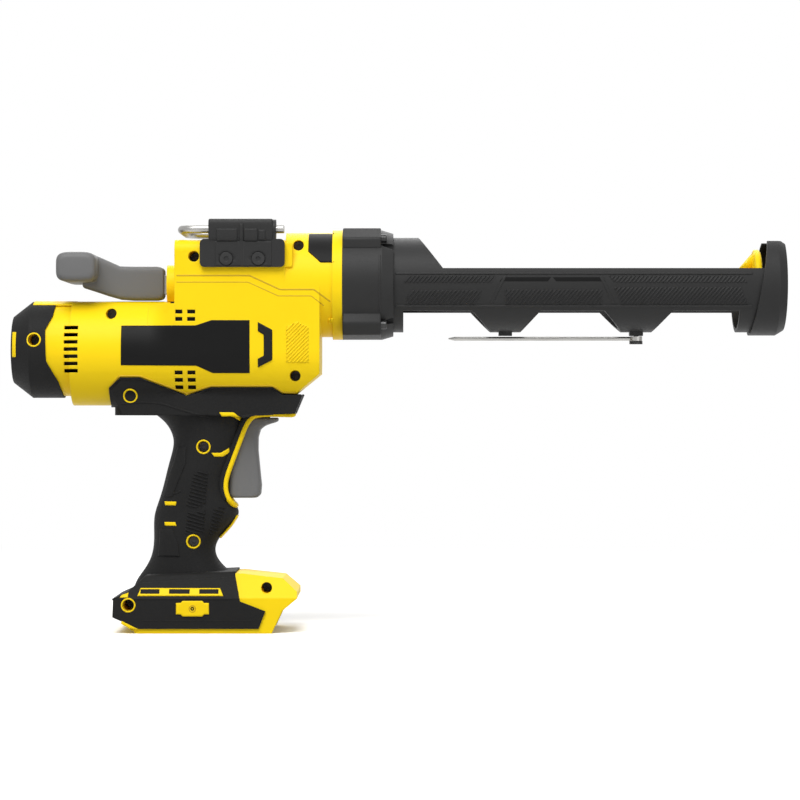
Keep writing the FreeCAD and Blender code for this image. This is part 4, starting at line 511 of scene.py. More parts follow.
neck = loft(NECK_X, NECK_LOW, NECK_HIGH, half=8.6, power=7, end=1.2, order=ALONG_X)
bar = block(BAR_X, BAR_Y, BAR_Z, power=4, end=4.0, order=ALONG_Y)
handle = new_piece("handle_bar", [neck, bar], "grey_plastic", body="plunger")
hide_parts("pull_handle")

# %% Trigger
TRIGGER_Z, TRIGGER_REAR, TRIGGER_FRONT = np.array([
    (83.6, -106.5, -89.2), (86, -107.8, -87.2), (91.4, -107.9, -86.7), (100, -107.9, -87.6), (113.7, -107.9, -88.9),
    (121.8, -107.9, -88.8), (126.8, -107.9, -87.4), (129.2, -106.8, -84.4), (130.4, -105.4, -81),
    (131.3, -104.2, -77.8), (132.0, -103, -76.4), (134.3, -99.6, -75.8)]).T
LUG_Z, LUG_REAR, LUG_FRONT = np.array([(133.0, -90.4, -81.6), (140, -90.4, -81.6), (145.3, -88.0, -84.0)]).T

blade = loft(TRIGGER_Z, TRIGGER_REAR, TRIGGER_FRONT, half=8.5, power=4.5, end=1.4, order=ALONG_Z)
lug = loft(LUG_Z, LUG_REAR, LUG_FRONT, half=5.0, power=6, end=0.8, order=ALONG_Z)
trigger = new_piece("trigger_blade", [blade, lug], "grey_plastic", body="trigger")
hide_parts("trigger")

# %% [markdown]
# ## How far out the side is
# Plates, ribs and accents lie on the tool's side, which is round in some places and flat in others. Their depth could
# be copied from the drawing, but then it would be wrong after any change. A Shrinkwrap modifier measures it instead:
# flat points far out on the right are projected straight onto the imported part, and their new places are read back.

# %% Depth of the side
PROBE_START = -0.2
SIDE = ("housing_right", "grip_overmould_right", "foot_panel_right", "rear_bumper_right")
carriers = dict(nodes)


def side_depth(x, z, names=None):
    """Y in millimetres of the outermost named part at each x and z: probes run along +Y until they meet it."""
    flat = np.column_stack([x.ravel() * MM, np.full(x.size, PROBE_START), z.ravel() * MM])
    mesh = bpy.data.meshes.new("probe")
    mesh.from_pydata(flat, [], [])
    probe = bpy.data.objects.new("probe", mesh)
    bpy.context.collection.objects.link(probe)
    depth = np.full(x.size, np.inf)
    for name in names or SIDE:
        wrap = probe.modifiers.new("wrap", "SHRINKWRAP")
        wrap.wrap_method = "PROJECT"
        wrap.use_project_y = True
        wrap.use_positive_direction = True
        wrap.target = carriers[name]
        found = np.empty(x.size * 3)
        moved = probe.evaluated_get(bpy.context.evaluated_depsgraph_get()).data
        moved.vertices.foreach_get("co", found)
        hit = found.reshape(-1, 3)[:, 1]
        depth = np.where(hit > PROBE_START + MM, np.minimum(depth, hit), depth)
        probe.modifiers.remove(wrap)
    bpy.data.objects.remove(probe)
    bpy.data.meshes.remove(mesh)
    met = np.isfinite(depth)
    depth = np.interp(np.arange(depth.size), np.flatnonzero(met), depth[met])
    return depth.reshape(x.shape) / MM


# %% Height above the side
TINY = 1e-12


def lifted(x, z, y, height):
    """Points moved out from the side by a height along its normal, the cross product of the grid's two directions."""
    base = np.stack([x, y, z], axis=-1)
    normal = np.cross(np.gradient(base, axis=0), np.gradient(base, axis=1))
    normal /= np.linalg.norm(normal, axis=-1, keepdims=True) + TINY
    normal *= -np.sign(normal[..., 1:2] + TINY)
    return (base + normal * height[..., None]).reshape(-1, 3)


# %% [markdown]
# ## Patches
# A patch is a thin raised field on the side, drawn in the side view between a lower and an upper line. Its border is
# a quarter circle, for which the grid's lines crowd together near the border, and the outermost line dips below the
# surface, so that no gap shows. A patch can also carry a pattern of ribs, or bridge a step in the side.

# %% Shares and borders of a patch
EDGE_STEPS = np.array([0.0, 0.03, 0.12, 0.3, 0.6, 1.0])
MOST_EDGE_SHARE = 0.4


def spaced(length, edge, inner):
    """Shares from 0 to 1 along a length, close together within the edge distance of both ends."""
    border = EDGE_STEPS * min(edge / length, MOST_EDGE_SHARE)
    return np.concatenate([border[:-1], np.linspace(border[-1], 1 - border[-1], inner), 1 - border[-2::-1]])


def border_distance(u, v, length, width):
    """Distance of each point of a grid of shares u and v to the nearest border."""
    return np.minimum(np.minimum(u, 1 - u)[:, None] * length, np.minimum(v, 1 - v)[None, :] * width)


def at_border(border, edge):
    """True on the outermost line of a grid alone."""
    return border < edge * EDGE_STEPS[1] / 2


def paired(lower, upper, shares):
    """Points at shares of two lines with the same number of corners, matched corner to corner, and their length."""
    lower, upper = np.array(lower, dtype=float), np.array(upper, dtype=float)
    middle = (lower + upper) / 2
    run = np.concatenate([[0], np.cumsum(np.linalg.norm(np.diff(middle, axis=0), axis=1))])
    knots = run / run[-1]
    pick = [np.stack([np.interp(shares, knots, line[:, axis]) for axis in (0, 1)], -1) for line in (lower, upper)]
    return pick[0], pick[1], run[-1]


# %% Patches on the side
SUNK = 0.3


def side_patch(lower, upper, rise, edge=0.8, names=None, columns=40, rows=14, pattern=None, fair=None, sunk=SUNK):
    """Raised patch between two lines of the side view, both sides of the tool.

    A point at share u along and v across lies at (1 - v) lower(u) + v upper(u). Its height is the rise times the
    quarter circle of its distance to the nearest border, plus a pattern of x and z, and the border itself is sunk.
    Where fair is given, it moves the depth at x and z outwards before that, everywhere but at the border.
    """
    length = paired(lower, upper, np.array([0.0]))[2]
    u = spaced(length, edge, columns)
    low, high, length = paired(lower, upper, u)
    width = np.linalg.norm(high - low, axis=-1)
    v = spaced(width.mean(), edge, rows)
    flat = low[:, None, :] * (1 - v)[None, :, None] + high[:, None, :] * v[None, :, None]
    x, z = flat[..., 0], flat[..., 1]
    border = border_distance(u, v, length, width[:, None])
    round_share = quarter_round(border, edge)
    height = rise * round_share
    if pattern is not None:
        height = height + pattern(x, z) * round_share
    outermost = at_border(border, edge)
    height = np.where(outermost, -sunk, height)
    depth = side_depth(x, z, names)
    if fair is not None:
        depth = np.where(outermost, depth, fair(x, z, depth))
    return both_sides(lifted(x, z, depth, height), x.shape)


def rectangle(x_span, z_span):
    """Lower and upper line of a rectangle in the side view."""
    return [[(x, z) for x in x_span] for z in z_span]


def side_patches(outlines, **shape):
    """Surfaces of several patches that share one shape, each between its own lower and upper line."""
    return [surface for lower, upper in outlines for surface in side_patch(lower, upper, **shape)]


# %% [markdown]
# ## Rubber flanks over the trigger
# Above the trigger the rubber has flat flanks that hang down below the round motor housing and end in a slanted nose.
# Each flank is a patch on the side whose depth is a smooth minimum of two surfaces: the round side and a flat plane.
# A smooth minimum follows whichever of the two lies further out and rounds the place where they meet, where a plain
# minimum would leave a sharp crease. The nose is a block whose front leans with its height.

# %% Flanks
FLANK_LOW = [(-173.2, 136.2), (-168, 136.2), (-160, 136.2), (-147, 136.0), (-133, 136.0), (-122, 136.2),
             (-110, 135.6), (-97, 134.8), (-90, 136.4), (-79, 136.6), (-73, 136.6), (-65.3, 136.9)]
FLANK_HIGH = [(-181.0, 152.0), (-174.0, 158.6), (-162, 158.6), (-147, 153.4), (-133, 147.6), (-122, 151.2),
              (-114, 152.4), (-97, 152.4), (-88, 152.4), (-79, 152.4), (-73, 148.6), (-60.4, 148.6)]
FLANK_DEPTH = -22.9
FLANK_BLEND = 1.6


def flank(x, z, depth):
    """Smooth minimum of the side's depth and the flat depth: half of their sum less the root of their squared
    difference plus the squared blend."""
    return (depth + FLANK_DEPTH - np.sqrt((depth - FLANK_DEPTH) ** 2 + FLANK_BLEND ** 2)) / 2


flanks = side_patch(FLANK_LOW, FLANK_HIGH, rise=0.05, edge=0.9, columns=150, rows=44, fair=flank)
carriers["flanks"] = new_piece("rubber_flanks", flanks, "black_rubber", wall=0.5)
SIDE += ("flanks",)

# %% Nose
NOSE_X, NOSE_Y, NOSE_Z = (-74.5, -62.6), (-21.0, 21.0), (139.4, 148.8)
NOSE_LEAN = 0.47

nose = block(NOSE_X, NOSE_Y, NOSE_Z, power=6, end=1.0, order=ALONG_Y)
nose[0][:, 0] += NOSE_LEAN * (nose[0][:, 2] - np.mean(NOSE_Z))
new_piece("rubber_nose", [nose], "black_rubber")

# %% [markdown]
# ## Lip round the trigger
# The yellow shell shows as a narrow rounded lip that runs along the rubber's front edge, round the bottom of the
# trigger's opening and up the other side. It is a tube with an oval section carried along one line in space. A
# bevelled curve could give it too, but its section would twist where the line turns from the side to the front. A
# black seat behind it closes the gap to the grip's rubber.

# %% Lines with round corners
BEND_POINTS = 7


def along(corners, shares):
    """Points at shares of a line's length."""
    line = np.array(corners, dtype=float)
    run = np.concatenate([[0], np.cumsum(np.linalg.norm(np.diff(line, axis=0), axis=1))])
    return np.stack([np.interp(shares * run[-1], run, line[:, axis]) for axis in range(line.shape[1])], axis=-1)


def rounded_line(corners, count, reach):
    """Even points along a line whose corners are rounded.

    Each corner becomes the quadratic curve (1 - t)^2 before + 2 t (1 - t) corner + t^2 after, where before and after
    lie on its two runs, at most the reach or half a run away.
    """
    line = np.array(corners, dtype=float)
    runs = np.diff(line, axis=0)
    lengths = np.linalg.norm(runs, axis=1, keepdims=True)
    cut = np.minimum(reach, lengths / 2) / lengths * runs
    corner, before, after = line[1:-1], line[1:-1] - cut[:-1], line[1:-1] + cut[1:]
    t = np.linspace(0, 1, BEND_POINTS)[None, :, None]
    bends = (1 - t) ** 2 * before[:, None] + 2 * t * (1 - t) * corner[:, None] + t ** 2 * after[:, None]
    line = np.concatenate([line[:1], bends.reshape(-1, line.shape[1]), line[-1:]])
    return along(line, np.linspace(0, 1, count))


# %% Tube along a line
END_SHARE = 0.012
LEAST_END = 0.2


def tube(corners, half_plane, half_side, count=220, around=16, reach=6.0):
    """Tube with an oval section along a smoothed line: the section is built on the line's own direction, the side
    direction nearest to Y, and their cross product; both ends draw in to a point."""
    line = rounded_line(corners, count, reach)
    way = np.gradient(line, axis=0)
    way /= np.linalg.norm(way, axis=-1, keepdims=True)
    side = np.array([0, 1.0, 0]) - way * way[:, 1:2]
    side /= np.linalg.norm(side, axis=-1, keepdims=True)
    plane = np.cross(way, side)
    run = np.linspace(0, 1, count)
    ends = np.maximum(quarter_round(np.minimum(run, 1 - run), END_SHARE), LEAST_END)[:, None, None]
    turn = np.linspace(0, 2 * math.pi, around, endpoint=False)[None, :, None]
    return closed(line[:, None] + ends * (plane[:, None] * np.cos(turn) * half_plane
                                          + side[:, None] * np.sin(turn) * half_side))


# %% Trigger lip
LIP_SIDE = [(-65.5, -10.7, 136.2), (-80, -10.7, 136.6), (-88.8, -10.7, 136.4), (-93, -10.7, 134.6),
            (-96.6, -10.7, 129.8), (-108.8, -10.7, 97), (-109.6, -10.7, 90.2), (-108.6, -10.7, 85.4),
            (-106.6, -10.2, 81.6), (-104.4, -7, 79.3), (-103.4, -3, 78.6)]
LIP_HALF_PLANE = 1.75
LIP_HALF_SIDE = 1.8
SEAT_RUN = slice(2, 9)
SEAT_BACK = 2.5
SEAT_UP = SEAT_BACK / 4
SEAT_HALF = 2.3

lip_line = LIP_SIDE + [(x, -y, z) for x, y, z in LIP_SIDE[::-1]]
lip = tube(lip_line, LIP_HALF_PLANE, LIP_HALF_SIDE, count=320)
new_piece("trigger_lip", [lip], "yellow_plastic")
seat_line = [(x - SEAT_BACK, y, z + SEAT_UP) for x, y, z in LIP_SIDE[SEAT_RUN]]
seat = tube(seat_line, SEAT_HALF, LIP_HALF_SIDE, count=160)
new_piece("lip_seats", [seat, mirrored(seat)], "black_rubber")

# %% [markdown]
# ## Shell between the motor and the flat body
# On the real housing the round motor end runs into the flat upper body over a short ramp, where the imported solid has
# a step. A patch over the step bridges it: its depth moves from the round side to the flat one along an S-shaped
# curve. The hook's saddle is closed in front by a cheek on each side, up to the round neck, and a block makes that.

# %% Fairing of the shell
RAMP = (-158.0, -139.6)
FAIRING_X, FAIRING_Z = (-157.5, -139.4), (176.5, 206.0)
FLAT_DEPTH = -33.0
AXIS_Z = 175.0


def ramp(x, z, depth):
    """Depth that goes from the round motor end to the flat side along an S-shaped step in x, above the axis only."""
    share = np.clip((x - RAMP[0]) / (RAMP[1] - RAMP[0]), 0, 1)
    share = share * share * (3 - 2 * share)
    return np.where(z > AXIS_Z, np.minimum(depth, depth + (FLAT_DEPTH - depth) * share), depth)


fairing = side_patch(*rectangle(FAIRING_X, FAIRING_Z), rise=0.006, edge=4.0, columns=24, rows=24, fair=ramp,
                     sunk=0.002)
carriers["fairing"] = new_piece("shell_fairings", fairing, "yellow_plastic", wall=0.4)
PLATE_SIDE = SIDE + ("fairing",)

# %% Saddle cheeks
CHEEK_X, CHEEK_Y, CHEEK_Z = (-74.6, -66.2), (-32.9, -13.0), (228.5, 243.8)

cheek = block(CHEEK_X, CHEEK_Y, CHEEK_Z, power=9, end=0.5, order=ALONG_Y)
new_piece("saddle_cheeks", [cheek, mirrored(cheek)], "yellow_plastic")

# %% [markdown]
# ## Painted shade in the vents
# Nothing but darkness shows through the vents of the real tool. Here the grey motor would shine through, so a thin
# dark sheet of painted shade lies just inside the wall: flat above the motor's axis, and round below it, as the wall
# is.

# %% Painted shade in the vents
SHADE_SHEET_RADIUS = 31.2
SHADE_SHEET_X = np.linspace(-142.5, -121.5, 8)
SHADE_SHEET_Z = np.linspace(152.0, 207.0, 60)


def shade_sheet():
    """Painted shade at y = -radius above the axis, and at y = -sqrt(radius^2 - drop^2) at a drop below it."""
    x, z = np.meshgrid(SHADE_SHEET_X, SHADE_SHEET_Z, indexing="ij")
    y = -np.sqrt(SHADE_SHEET_RADIUS ** 2 - np.minimum(z - AXIS_Z, 0) ** 2)
    return both_sides(np.stack([x, y, z], axis=-1).reshape(-1, 3), x.shape)


# Dark sheet that paints the shade inside the vents.
new_piece("vent_shade_sheets", shade_sheet(), "black_label_and_shade", wall=0.3)

# %% [markdown]
# ## Plates and accents of the housing
# Both sides carry a wide bare plate, a bracket-shaped black accent and a small bare plate by the collar. Colour alone
# could draw them, but each is a separate thin moulding whose border catches the light, so each is a patch. The small
# plate lies on the neck, where screw holes break the measured depth: there a circle through the middle of the
# measured points takes its place.

# %% Label plates and side accents
PLATE_LOW = [(-173.5, 167.2), (-126.3, 166.9), (-116.1, 162.3), (-93, 162.3)]
PLATE_HIGH = [(-173.5, 192.1), (-126.7, 192.1), (-116.9, 195.4), (-93, 195.4)]
ACCENT_OUT = [(-87.9, 194.2), (-78.8, 189.3), (-78.8, 170.5), (-87.9, 165.8)]
ACCENT_IN = [(-87.9, 188.5), (-84.2, 186.2), (-84.2, 173.2), (-87.9, 171.2)]

plates = side_patch(PLATE_LOW, PLATE_HIGH, rise=0.35, edge=0.5, names=PLATE_SIDE, columns=60)
new_piece("label_plates", plates, "black_label_and_shade", wall=0.6)
accents = side_patch(ACCENT_IN, ACCENT_OUT, rise=0.9, edge=0.9, rows=8)
new_piece("side_accents", accents, "black_rubber", wall=0.6)

# %% Corner plates
CRADLE_AXIS_Z = 218.4
CORNER_LOW = [(-56.6, 238.4), (-48.8, 231.4), (-40.9, 231.4)]
CORNER_HIGH = [(-56.6, 250.2), (-48.8, 250.2), (-40.9, 250.2)]


def plain_neck(x, z, depth):
    """Depth of the round neck without its screw holes: the circle round the cradle's axis with the middle radius."""
    radius = np.median(np.hypot(depth, z - CRADLE_AXIS_Z))
    return -np.sqrt(radius ** 2 - (z - CRADLE_AXIS_Z) ** 2)


corners = side_patch(CORNER_LOW, CORNER_HIGH, rise=0.7, edge=0.5, fair=plain_neck)
new_piece("corner_plates", corners, "black_label_and_shade", wall=0.6)

# %% [markdown]
# ## Ribs and lines of the housing
# In front of the accent lies a field of fine diagonal ribs, and two fine lines step down towards the collar. A bump
# map would not change the mesh itself, so the ribs are real: a sine across the diagonal is the pattern of a patch. A
# line is a bead, half a round rod that lies on the side and sinks in at both ends. Small caps close the ends of the
# collar's screw holes behind the flange, and a darker bead marks the shell's rim along the rubber.

# %% Rib fields
RIB_PITCH = 1.7
RIB_DEPTH = 0.65
RIB_LOW = [(-70.2, 168.9), (-63.3, 168.9), (-56.1, 168.9)]
RIB_HIGH = [(-70.2, 191.3), (-63.3, 194.7), (-56.1, 191.3)]


def diagonal_ribs(x, z):
    """Round-topped ribs: the height is the depth times the positive half of a sine across the diagonal."""
    across = (x - z) / math.sqrt(2)
    return RIB_DEPTH * np.clip(np.sin(2 * math.pi * across / RIB_PITCH), 0, 1)


fields = side_patch(RIB_LOW, RIB_HIGH, rise=0.12, edge=0.5, columns=80, rows=120, pattern=diagonal_ribs)
new_piece("rib_fields", fields, "yellow_plastic", wall=0.5)

# %% Beads along a line
BEAD_COLUMNS = 9


def side_bead(corners, half_width, rise, names=None, count=90, reach=3.0):
    """Half-round bead on both sides along a line of the side view.

    At share s across, from -1 to 1, a point lies s half widths beside the line and rise times sqrt(1 - s s) above
    the surface; both ends sink in over one half width.
    """
    line = rounded_line(corners, count, reach)
    way = np.gradient(line, axis=0)
    way /= np.linalg.norm(way, axis=-1, keepdims=True)
    s = np.sin(np.linspace(-math.pi / 2, math.pi / 2, BEAD_COLUMNS))
    x = line[:, :1] - way[:, 1:] * s * half_width
    z = line[:, 1:] + way[:, :1] * s * half_width
    run = np.linalg.norm(np.gradient(line, axis=0), axis=-1).cumsum()
    ends = quarter_round(np.minimum(run - run[0], run[-1] - run), half_width)
    height = (rise + SUNK) * np.sqrt(1 - s ** 2)[None, :] * ends[:, None] - SUNK
    return both_sides(lifted(x, z, side_depth(x, z, names), height), x.shape)


# %% Step lines
LINE_TOP = [(-139.0, 223.2), (-93, 223.2), (-74.1, 214.5), (-52.9, 214.5), (-42.4, 206.8)]
LINE_BELOW = [(-139.0, 219.1), (-94, 219.1), (-75.1, 210.5), (-54.6, 210.5), (-46.4, 204.2)]

# The darker yellow of the lines is painted shade along the steps.
lines = side_bead(LINE_TOP, half_width=0.7, rise=0.14, count=260, reach=0.8)
lines += side_bead(LINE_BELOW, half_width=0.5, rise=0.1, count=260, reach=0.8)
new_piece("step_lines", lines, "shadow_line", wall=0.4)

# %% Neck caps and rubber rims
CAP_X, CAP_Z = (-44.1, -41.2), (193.6, 196.8)
RIM = [(-181.6, 148.5), (-181.2, 153.2), (-174.8, 160.4), (-161.6, 160.4), (-133, 149.3), (-117.9, 154.2),
       (-78.8, 154.2), (-72.6, 150.1), (-64.5, 149.9)]

caps = side_patch(*rectangle(CAP_X, CAP_Z), rise=1.5, edge=1.1, columns=8, rows=8)
new_piece("neck_caps", caps, "yellow_plastic", wall=0.6)
# The darker yellow of the rim bead is painted shade of the groove along the rubber's edge.
rims = side_bead(RIM, half_width=0.7, rise=0.5, names=("housing_right",), count=300, reach=1.5)
new_piece("rubber_rims", rims, "shadow_line", wall=0.4)

# %% [markdown]
# ## Crown and tabs at the rear
# The yellow shell shows in a strip over the top of the rear rubber, and in a short tab at its end. The strip is part
# of a cylinder a little larger than the rubber, so it is a function of the length and the angle, and no measuring is
# needed. The tab is a patch.

# %% Crown and tabs
CROWN_AXIS_Z = 177.3
CROWN_RADIUS = 30.9
CROWN_X = (-230.9, -203.4)
CROWN_HALF = math.radians(23)
CROWN_EDGE = 0.8
TAB_X, TAB_Z = (-242.6, -240.2), (172.4, 188.2)


def crown(columns=24, rows=24):
    """Strip on the cylinder round the rear rubber's axis: the angle runs from one side of the top to the other, and
    the border draws in on a quarter circle."""
    length, width = CROWN_X[1] - CROWN_X[0], 2 * CROWN_HALF * CROWN_RADIUS
    u, v = spaced(length, CROWN_EDGE, columns), spaced(width, CROWN_EDGE, rows)
    border = border_distance(u, v, length, width)
    radius = CROWN_RADIUS - CROWN_EDGE * (1 - quarter_round(border, CROWN_EDGE))
    angle = (2 * v - 1)[None, :] * CROWN_HALF
    x = np.broadcast_to(CROWN_X[0] + u[:, None] * length, border.shape)
    points = np.stack([x, radius * np.sin(angle), CROWN_AXIS_Z + radius * np.cos(angle)], axis=-1).reshape(-1, 3)
    return points, facing(points, grid_faces(*x.shape), UP)


new_piece("rear_crown", [crown()], "yellow_plastic", wall=1.6)
tabs = side_patch(*rectangle(TAB_X, TAB_Z), rise=0.5, edge=0.5, names=("rear_bumper_right",), columns=8, rows=24)
new_piece("rear_tabs", tabs, "yellow_plastic", wall=0.5)

# %% [markdown]
# ## Rings round the screws
# Yellow rings mark the screws that pass through the rubber. A torus laid on the side would float or sink where the
# side is round, so each ring follows the depth just outside its own rim, or its own depth where that is further out.

# %% Screw rings
RING_PLACES = [(-168.3, 148.05), (-122.8, 116.0), (-129.2, 56.35), (-228.2, 183.2), (-168.3, 17.7)]
RING_COLUMNS = 11
RIM_GAP = 0.3


def side_ring(place, inner, outer, rise, names=None, around=48):
    """Raised ring on both sides: at angle a and radius r it stands rise times a half circle above the surface."""
    turn = np.linspace(0, 2 * math.pi, around, endpoint=False)
    share = np.sin(np.linspace(-1, 1, RING_COLUMNS) * math.pi / 2)
    radius = (inner + outer) / 2 + share * (outer - inner) / 2
    x = place[0] + np.cos(turn)[None, :] * radius[:, None]
    z = place[1] + np.sin(turn)[None, :] * radius[:, None]
    around_it = outer + RIM_GAP
    rim = side_depth(place[0] + np.cos(turn) * around_it, place[1] + np.sin(turn) * around_it, names)
    base = np.minimum(rim, side_depth(x, z, names))
    y = base - (rise + SUNK) * np.sqrt(1 - share ** 2)[:, None] + SUNK
    return both_sides(np.stack([x, y, z], axis=-1).reshape(-1, 3), x.shape, ring=True)


rings = [surface for place in RING_PLACES for surface in side_ring(place, inner=3.5, outer=4.6, rise=0.5)]
new_piece("screw_rings", rings, "yellow_plastic")

# %% [markdown]
# ## Details of the grip
# The rubber is cut by yellow accents and by fields of short ribs that stop the hand from slipping. Raised palms
# swell at the rear of the grip, soft creases run over it, and a yellow strip lies below the trigger. Accents, ribs
# and palms are patches, creases are beads, and the strip is a wide flat tube.

# %% Grip accents
ACCENT_BARS = [
    ([(-111.0, 135.4), (-105.0, 135.4), (-100.2, 132.2)], [(-112.6, 137.8), (-103.6, 137.8), (-99.2, 134.4)]),
    ([(-116.2, 109.8), (-110.8, 109.8), (-106.8, 112.4)], [(-117.8, 112.2), (-112.0, 112.2), (-107.0, 115.2)]),
    ([(-147.2, 79.0), (-143.6, 79.0), (-140.4, 79.0)], [(-147.8, 81.5), (-143.6, 81.5), (-139.8, 81.5)]),
    ([(-147.4, 66.2), (-143.8, 66.2), (-139.8, 66.2)], [(-147.6, 68.6), (-143.8, 68.6), (-140.6, 68.6)]),
]
bars = side_patches(ACCENT_BARS, rise=0.6, edge=0.6, columns=16, rows=6)
new_piece("grip_accents", bars, "yellow_plastic", wall=0.8)

# %% Grip ribs
GRIP_RIB_PITCH = 2.3
GRIP_RIB_DEPTH = 0.75
GRIP_RIB_FALL = 0.3
GRIP_RIB_FLOOR = -0.35
RIB_PATCHES = [
    ([(-133.6, 78.8), (-127.5, 77.6), (-121.5, 79.5)], [(-128.8, 99.6), (-124.5, 101.5), (-119.6, 99.0)]),
    ([(-134.8, 61.5), (-128.6, 60.6), (-122.6, 61.5)], [(-132.6, 76.4), (-127.2, 75.2), (-121.4, 76.6)]),
    ([(-119.6, 59.5), (-117.0, 60.5), (-114.4, 62.5)], [(-116.4, 78.0), (-112.5, 78.4), (-108.8, 78.6)]),
]


def slanted_ribs(x, z):
    """Ribs that fall slightly towards the front: a sine of the height plus a share of the length, cut off below."""
    across = z + GRIP_RIB_FALL * x
    return GRIP_RIB_DEPTH * np.clip(np.sin(2 * math.pi * across / GRIP_RIB_PITCH), GRIP_RIB_FLOOR, 1)


ribs = side_patches(RIB_PATCHES, rise=0.1, edge=0.9, columns=24, rows=110, pattern=slanted_ribs)
new_piece("grip_ribs", ribs, "black_rubber", wall=0.5)

# %% Grip palms, strip and creases
PALMS = [
    ([(-142.4, 84.4), (-138.8, 93.8), (-134.0, 105.4), (-133.8, 116.0)],
     [(-148.6, 84.4), (-145.6, 95.8), (-141.6, 107.4), (-139.4, 116.0)]),
    ([(-137.8, 46.8), (-138.8, 54.8), (-142.4, 64.0)], [(-151.8, 46.8), (-151.0, 54.8), (-150.8, 64.0)]),
]
STRIP_LINE = [(-102.0, 0, 72.6), (-106.2, 0, 65.8), (-113.4, 0, 58.2)]
CREASES = [
    [(-174.5, 143), (-160.9, 144.3), (-148.5, 143.4), (-132.9, 138.1), (-119.3, 135)],
    [(-147.6, 86.0), (-141.5, 86.2), (-136.5, 88.4)],
]

palms = side_patches(PALMS, rise=0.75, edge=1.0, columns=60, rows=20)
new_piece("grip_palms", palms, "black_rubber", wall=0.5)
strip = tube(STRIP_LINE, half_plane=0.9, half_side=5.5, count=80, around=24)
new_piece("grip_strip", [strip], "yellow_plastic")
creases = [surface for line in CREASES for surface in side_bead(line, half_width=0.8, rise=0.45, reach=6.0)]
new_piece("grip_creases", creases, "black_rubber", wall=0.4)

# %% [markdown]
# ## Details of the foot
# The battery foot has a slotted yellow strip, a small yellow badge with painted shade in its hole, and raised lines
# along its edges. All of them lie on the foot's panel or on the shell beside it. The shade is a near-black ring whose
# hole is almost closed, inside a darker ring that is painted shade too.

# %% Foot strips
FOOT_SIDE = ("foot_panel_right", "housing_right")
FOOT_STRIP_LOW, FOOT_STRIP_HIGH = [(-162.7, 23.3), (-109.1, 23.3)], [(-160.9, 28.1), (-111.3, 28.0)]
SLOT_SPANS = [(-160.9, -148.9), (-143.1, -130.1), (-124.3, -112.1)]
SLOT_Z = (24.3, 27.2)

strips = side_patch(FOOT_STRIP_LOW, FOOT_STRIP_HIGH, rise=0.7, edge=0.6, names=FOOT_SIDE, columns=60, rows=10)
new_piece("foot_strips", strips, "yellow_plastic", wall=0.8)
slots = side_patches([rectangle(span, SLOT_Z) for span in SLOT_SPANS], rise=0.86, edge=0.15, names=FOOT_SIDE,
                     columns=12, rows=6)
new_piece("strip_slots", slots, "black_rubber", wall=0.8)

# %% Foot badges and ridges
BADGE_LOW = [(-138.6, 12.0), (-135.5, 12.0), (-134.5, 10.7), (-122.1, 10.7), (-121.1, 12.0), (-118.0, 12.0)]
BADGE_HIGH = [(-138.6, 19.2), (-135.5, 19.2), (-134.5, 20.5), (-122.1, 20.5), (-121.1, 19.2), (-118.0, 19.2)]
BADGE_HOLE_PLACE = (-128.3, 15.6)
UPPER_RIDGE, LOWER_RIDGE = [(-166.5, 21.6), (-103.0, 21.6)], [(-160, 8.2), (-90, 8.2)]

badges = side_patch(BADGE_LOW, BADGE_HIGH, rise=0.9, edge=0.7, names=FOOT_SIDE, columns=48, rows=12)
new_piece("foot_badges", badges, "yellow_plastic", wall=0.8)
# The darker ring and the near-black disc inside it are painted shade of the badge's hole.
badge_rims = side_ring(BADGE_HOLE_PLACE, inner=1.5, outer=2.5, rise=1.2, names=FOOT_SIDE)
new_piece("badge_rims", badge_rims, "shadow_line")
hole_shades = side_ring(BADGE_HOLE_PLACE, inner=0.05, outer=1.6, rise=1.1, names=FOOT_SIDE)
new_piece("badge_hole_shades", hole_shades, "black_label_and_shade")
ridges = side_bead(UPPER_RIDGE, half_width=0.5, rise=0.35, names=FOOT_SIDE)
ridges += side_bead(LOWER_RIDGE, half_width=0.4, rise=0.25, names=FOOT_SIDE)
new_piece("foot_ridges", ridges, "black_rubber", wall=0.4)

# %% [markdown]
# ## Shoulders of the foot
# Rubber covers the foot's top and runs up to the grip, and two slivers of the yellow shell show above and below it at
# the rear. The sheet's height at each place is a soft minimum of a top line and a slope that falls outwards. Cutting
# one by the other would leave a sharp edge, and the soft minimum rounds it.

# %% Foot shoulders
SHOULDER_X, SHOULDER_TOP = np.array([(-178.6, 21.6), (-169.2, 25.8), (-158.4, 35.7), (-102.2, 38.1)]).T
TOP_HALF, TOP_Z = 25.0, 38.0
FOOT_HALF, FOOT_Z = 37.5, 22.0
SHOULDER_SLOPE = (FOOT_HALF - TOP_HALF) / (TOP_Z - FOOT_Z)
SHOULDER_OUT = 1.25
SHOULDER_LOW = 23.3
SHARPNESS = 2


def shoulder_sheet(columns=90, rows=90):
    """Rubber over the foot's top: at x the sheet runs from one side's slope over the top to the other side's slope.

    The share across, from -1 to 1, gives y. The height is the soft minimum of the top line and the slope: minus the
    logarithm of the sum of exp(-sharpness top) and exp(-sharpness slope), over the sharpness.
    """
    x = np.linspace(SHOULDER_X[0], SHOULDER_X[-1], columns)[:, None]
    half = TOP_HALF + (TOP_Z - SHOULDER_LOW) * SHOULDER_SLOPE + SHOULDER_OUT
    y = np.linspace(-1, 1, rows)[None, :] * half
    top = np.interp(x, SHOULDER_X, SHOULDER_TOP)
    slope = TOP_Z + SHOULDER_OUT - (np.abs(y) - TOP_HALF) / SHOULDER_SLOPE
    z = -np.logaddexp(-SHARPNESS * top, -SHARPNESS * slope) / SHARPNESS
    points = np.stack(np.broadcast_arrays(x, y, z), axis=-1).reshape(-1, 3)
    return points, facing(points, grid_faces(columns, rows), UP)


carriers["shoulders"] = new_piece("foot_shoulders", [shoulder_sheet()], "black_rubber", wall=1.0)

